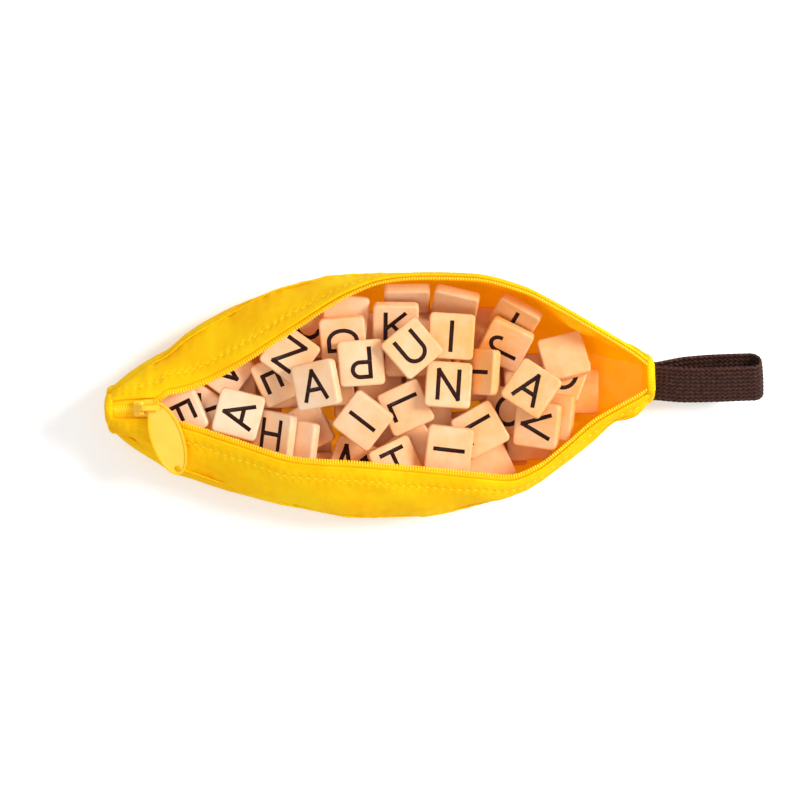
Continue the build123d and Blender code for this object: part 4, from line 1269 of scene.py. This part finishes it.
@dataclass
class Heap:
    """Every letter tile, shaped round its solid; sizes in millimetres."""

    wardrobe: Wardrobe
    size: float = 19.0
    thickness: float = 4.6
    corner: float = 1.9
    edge: float = 0.85
    cap_height: float = 11.7
    face_inset: float = 0.5          # first ring of the flat face inside its rounded edge
    least_corner: float = 0.35
    stroke: float = 1.75
    stroke_ends: float = 0.8         # past the last point, share of half the stroke
    ink_rise: float = 0.07
    ink_root: float = 0.15           # the strokes go this far into the tile
    ink_edge: float = 0.03           # their sides are this much lower than their top
    ink_face: float = 0.82           # share of the stroke's width that is flat
    ink_hollow: float = 0.035

    def tile(self) -> tuple[np.ndarray, np.ndarray]:
        """Moulded tile round the origin, face up, as rings of its rounded outline."""
        arcs = np.radians(np.concatenate([q + np.array([0.0, 22.5, 45.0, 67.5, 90.0])
                                          for q in (0, 90, 180, 270)]))
        turn = np.stack([np.cos(arcs), np.sin(arcs)], axis=-1)
        sign = np.sign(turn[2::5]).repeat(5, axis=0)
        rings = []
        half = self.thickness / 2
        angles = np.radians([90, 90, 60, 30, 0, 0, -30, -60, -90, -90])
        for number, angle in enumerate(angles):
            drawn_in = self.face_inset if number in (0, len(angles) - 1) else 0.0
            inset = self.edge * (1 - math.cos(angle)) + drawn_in
            level = (half - self.edge) * (1 if number < len(angles) / 2 else -1)
            z = level + self.edge * math.sin(angle)
            corner = max(self.corner - inset, self.least_corner)
            centre = sign * (self.size / 2 - inset - corner)
            ring = centre + turn * corner
            rings.append(np.column_stack([ring, np.full(len(ring), z)]))
        points = np.concatenate(rings)
        return points, outward(points, tube_faces(len(rings), len(arcs)))

    @staticmethod
    def straightened(strokes: list) -> list[np.ndarray]:
        """Strokes cut apart at their sharp corners."""
        cut = []
        for stroke in strokes:
            line = np.array(stroke, float)
            moved = np.abs(np.diff(line, axis=0)).sum(1) > 1e-4
            line = line[np.concatenate([[True], moved])]
            run = unit(np.diff(line, axis=0))
            sharp = np.nonzero((run[:-1] * run[1:]).sum(1) < 0.7)[0] + 1
            ends = [0, *sharp, len(line) - 1]
            cut += [line[a:b + 1] for a, b in zip(ends, ends[1:])]
        return cut

    def letter(self, sign: str) -> tuple[np.ndarray, np.ndarray]:
        """One capital letter as raised strokes on the tile's face.

        Args:
            sign: the letter.

        Returns:
            Points and faces.
        """
        half, flat = self.stroke / 2, self.ink_face
        low, high = self.thickness / 2 - self.ink_root, self.thickness / 2 + self.ink_rise
        side_top = high - self.ink_edge
        profile = ((1.0, low), (1.0, side_top), (flat, high), (0.0, high - self.ink_hollow),
                   (-flat, high), (-1.0, side_top), (-1.0, low), (0.0, low))
        points, faces, total = [], [], 0
        wide = max(p[0] for stroke in STROKES[sign] for p in stroke)
        for stroke in self.straightened(STROKES[sign]):
            line = (stroke - np.array([wide / 2, 0.5])) * self.cap_height
            run = unit(np.diff(line, axis=0))
            side = np.stack([-run[:, 1], run[:, 0]], axis=-1)
            before = np.concatenate([side[:1], side])
            mitre = before + np.concatenate([side, side[-1:]])
            mitre /= np.clip((mitre * before).sum(1, keepdims=True), 0.7, None)
            ends = line.copy()
            ends[0] -= run[0] * half * self.stroke_ends
            ends[-1] += run[-1] * half * self.stroke_ends
            grid = np.stack([np.insert(ends + mitre * half * share, 2, z, axis=1)
                             for share, z in profile], axis=1)
            points.append(grid.reshape(-1, 3))
            own = tube_faces(len(ends), len(profile))
            faces.append(outward(points[-1], own) + total)
            total += len(points[-1])
        return np.concatenate(points), np.concatenate(faces)

    def blocks(self, node: str) -> list[tuple[np.ndarray, np.ndarray]]:
        """Centre and axes of each tile in a CAD node.

        Args:
            node: the node's name.

        Returns:
            For each tile its centre in millimetres and rows of x, y and z directions.
        """
        solid = bmesh.new()
        solid.from_mesh(bpy.data.objects[node].data)
        bmesh.ops.remove_doubles(solid, verts=solid.verts, dist=1e-6)
        solid.faces.index_update()
        seen, found = set(), []
        for first in solid.verts:
            if first in seen:
                continue
            island, queue = [], [first]
            seen.add(first)
            while queue:
                vert = queue.pop()
                island.append(vert)
                for link in vert.link_edges:
                    other = link.other_vert(vert)
                    if other not in seen:
                        seen.add(other)
                        queue.append(other)
            faces = sorted({face for vert in island for face in vert.link_faces},
                           key=lambda face: face.index)
            sides: dict[tuple, float] = {}
            for face in faces:
                key = tuple(round(c, 2) for c in face.normal)
                sides[key] = sides.get(key, 0.0) + face.calc_area()
            ranked = sorted(sides, key=sides.get, reverse=True)
            up = np.array(ranked[0]) if ranked[0][2] > 0 else -np.array(ranked[0])
            up = self.exact(faces, up)
            across = self.exact(faces, np.array(ranked[2]))
            across = unit(across - up * (up @ across))
            places = np.array([vert.co for vert in island])
            axes = np.stack([across, np.cross(up, across), up])
            own = places @ axes.T
            centre = (own.max(axis=0) + own.min(axis=0)) / 2 @ axes
            found.append((centre / MM, axes))
        solid.free()
        return found

    @staticmethod
    def exact(faces: list, near: np.ndarray) -> np.ndarray:
        """The true normal of the faces that point nearly one way."""
        total = np.zeros(3)
        for face in faces:
            normal = np.array(face.normal)
            if normal @ near > 0.99:
                total += normal * face.calc_area()
        return unit(total)

    def build(self) -> None:
        """Make every tile: the hidden ones by node, each lettered one alone."""
        tile, tile_faces = self.tile()
        for node in ("tiles_bed_1", "tiles_bed_2", "tiles_plain_upper"):
            found = self.blocks(node)
            piece = copies(node.replace("tiles", "moulded"), (tile, tile_faces),
                           np.array([centre for centre, _ in found]),
                           np.array([axes for _, axes in found]))
            self.wardrobe.dress(piece, TILE)
            settle_piece(piece, "pouch", "tile_plastic", node)
        for place, (sign, turn) in LETTERED.items():
            node = f"tile_{place}"
            centre, axes = self.blocks(node)[0]
            angle = math.radians(turn)
            wanted = np.array([math.cos(angle), math.sin(angle), 0])
            choices = [axes[0], axes[1], -axes[0], -axes[1]]
            right = max(choices, key=lambda axis: axis @ wanted)
            axes = np.stack([right, np.cross(axes[2], right), axes[2]])
            ink, ink_faces = self.letter(sign)
            points = np.concatenate([tile, ink]) @ axes + centre
            faces = np.concatenate([tile_faces, ink_faces + len(tile)])
            piece = new_object(f"lettered_{place}", points * MM, faces)
            index = np.zeros(len(faces), dtype=np.int32)
            index[len(tile_faces):] = 1
            self.wardrobe.dress(piece, TILE, INK)
            piece.data.polygons.foreach_set("material_index", index)
            body = node if node in frame["bodies"] else "pouch"
            settle_piece(piece, body, "tile_plastic", node)


# ------------------------------------------------------------------ studio
@dataclass
class Studio:
    """White sweep, lights and the camera over it, sizes in metres."""

    look_at: tuple[float, float] = (0.00823, -0.00283)
    roll: float = -2.3
    lens: float = 110.0
    distance: float = 1.0185
    focus_height: float = 0.025
    sensor: float = 36.0             # millimetres
    clip_end: float = 20.0
    ambient: float = 0.62
    floor_half: float = 4.0
    floor_colour: tuple = (0.92, 0.925, 0.935)
    floor_lift: tuple = (0.5, 1.2, 0.20, 0.60)   # near, far, glow near, glow far
    world_colour: tuple = (1.0, 0.99, 0.975)

    def floor(self) -> None:
        """Pale floor that shows only its soft shadow to the camera."""
        square = ((-1, -1, 0), (1, -1, 0), (1, 1, 0), (-1, 1, 0))
        points = self.floor_half * np.array(square)
        floor = new_object("floor", points, np.array([[0, 1, 2, 3]]), smooth=False)
        paint = bpy.data.materials.new("floor")
        paint.use_nodes = True
        shader = Shader(paint.node_tree)
        surface = paint.node_tree.nodes["Principled BSDF"]
        for socket, value in (("Base Color", (*self.floor_colour, 1.0)), ("Roughness", 0.9),
                              ("Specular IOR Level", 0.1),
                              ("Emission Color", (1.0, 1.0, 1.0, 1.0))):
            surface.inputs[socket].default_value = value
        seen = shader.add("LightPath").outputs["Is Camera Ray"]
        place = shader.add("TexCoord").outputs["Object"]
        away = shader.add("VectorMath", place, operation="LENGTH").outputs["Value"]
        strength = shader.add("MapRange", away, *self.floor_lift)
        glow = shader.math("MULTIPLY", seen, strength.outputs[0])
        paint.node_tree.links.new(glow, surface.inputs["Emission Strength"])
        floor.data.materials.append(paint)

    def world(self) -> None:
        """Even white surroundings, at full strength to the camera and dimmer as light."""
        world = bpy.data.worlds.new("studio")
        bpy.context.scene.world = world
        world.use_nodes = True
        shader = Shader(world.node_tree)
        back = world.node_tree.nodes["Background"]
        back.inputs["Color"].default_value = (*self.world_colour, 1.0)
        path = shader.add("LightPath")
        direct = shader.math("MAXIMUM", path.outputs["Is Camera Ray"],
                             path.outputs["Is Transmission Ray"])
        strength = shader.math("MULTIPLY_ADD", direct, 1.0 - self.ambient, self.ambient)
        world.node_tree.links.new(strength, back.inputs["Strength"])

    def light(self, name: str, place: tuple, power: float, size: float) -> None:
        """Soft square lamp that looks at the pouch.

        Args:
            name: the lamp's name.
            place: its position in metres.
            power: watts.
            size: edge length in metres.
        """
        lamp = bpy.data.lights.new(name, "AREA")
        lamp.energy, lamp.size, lamp.shape = power, size, "SQUARE"
        piece = bpy.data.objects.new(name, lamp)
        bpy.context.scene.collection.objects.link(piece)
        piece.location = place
        piece.rotation_euler = (-Vector(place)).to_track_quat("-Z", "Y").to_euler()

    def camera(self) -> None:
        """Long lens straight above the pouch, as the photograph was taken."""
        data = bpy.data.cameras.new("overhead")
        data.lens, data.sensor_width, data.clip_end = self.lens, self.sensor, self.clip_end
        piece = bpy.data.objects.new("overhead", data)
        bpy.context.scene.collection.objects.link(piece)
        piece.location = (*self.look_at, self.focus_height + self.distance)
        piece.rotation_euler = (0.0, 0.0, math.radians(self.roll))
        bpy.context.scene.camera = piece

    def build(self) -> None:
        """Set the whole stage."""
        self.floor()
        self.world()
        self.light("key", (0.95, 0.25, 0.85), 16.0, 0.45)
        self.light("fill", (-0.6, -0.5, 1.4), 5.0, 1.2)
        self.camera()
        bpy.context.scene.view_settings.view_transform = "Standard"


def main() -> None:
    """Build every sub-assembly and the stage."""
    logging.basicConfig(level=logging.INFO, format="%(message)s")
    wardrobe, form = Wardrobe(), Form()
    Cloth(form, wardrobe).build()
    Zip(form, wardrobe).build()
    HangLoop(form, wardrobe).build()
    Heap(wardrobe).build()
    Studio().build()


if __name__ == "__main__":
    main()
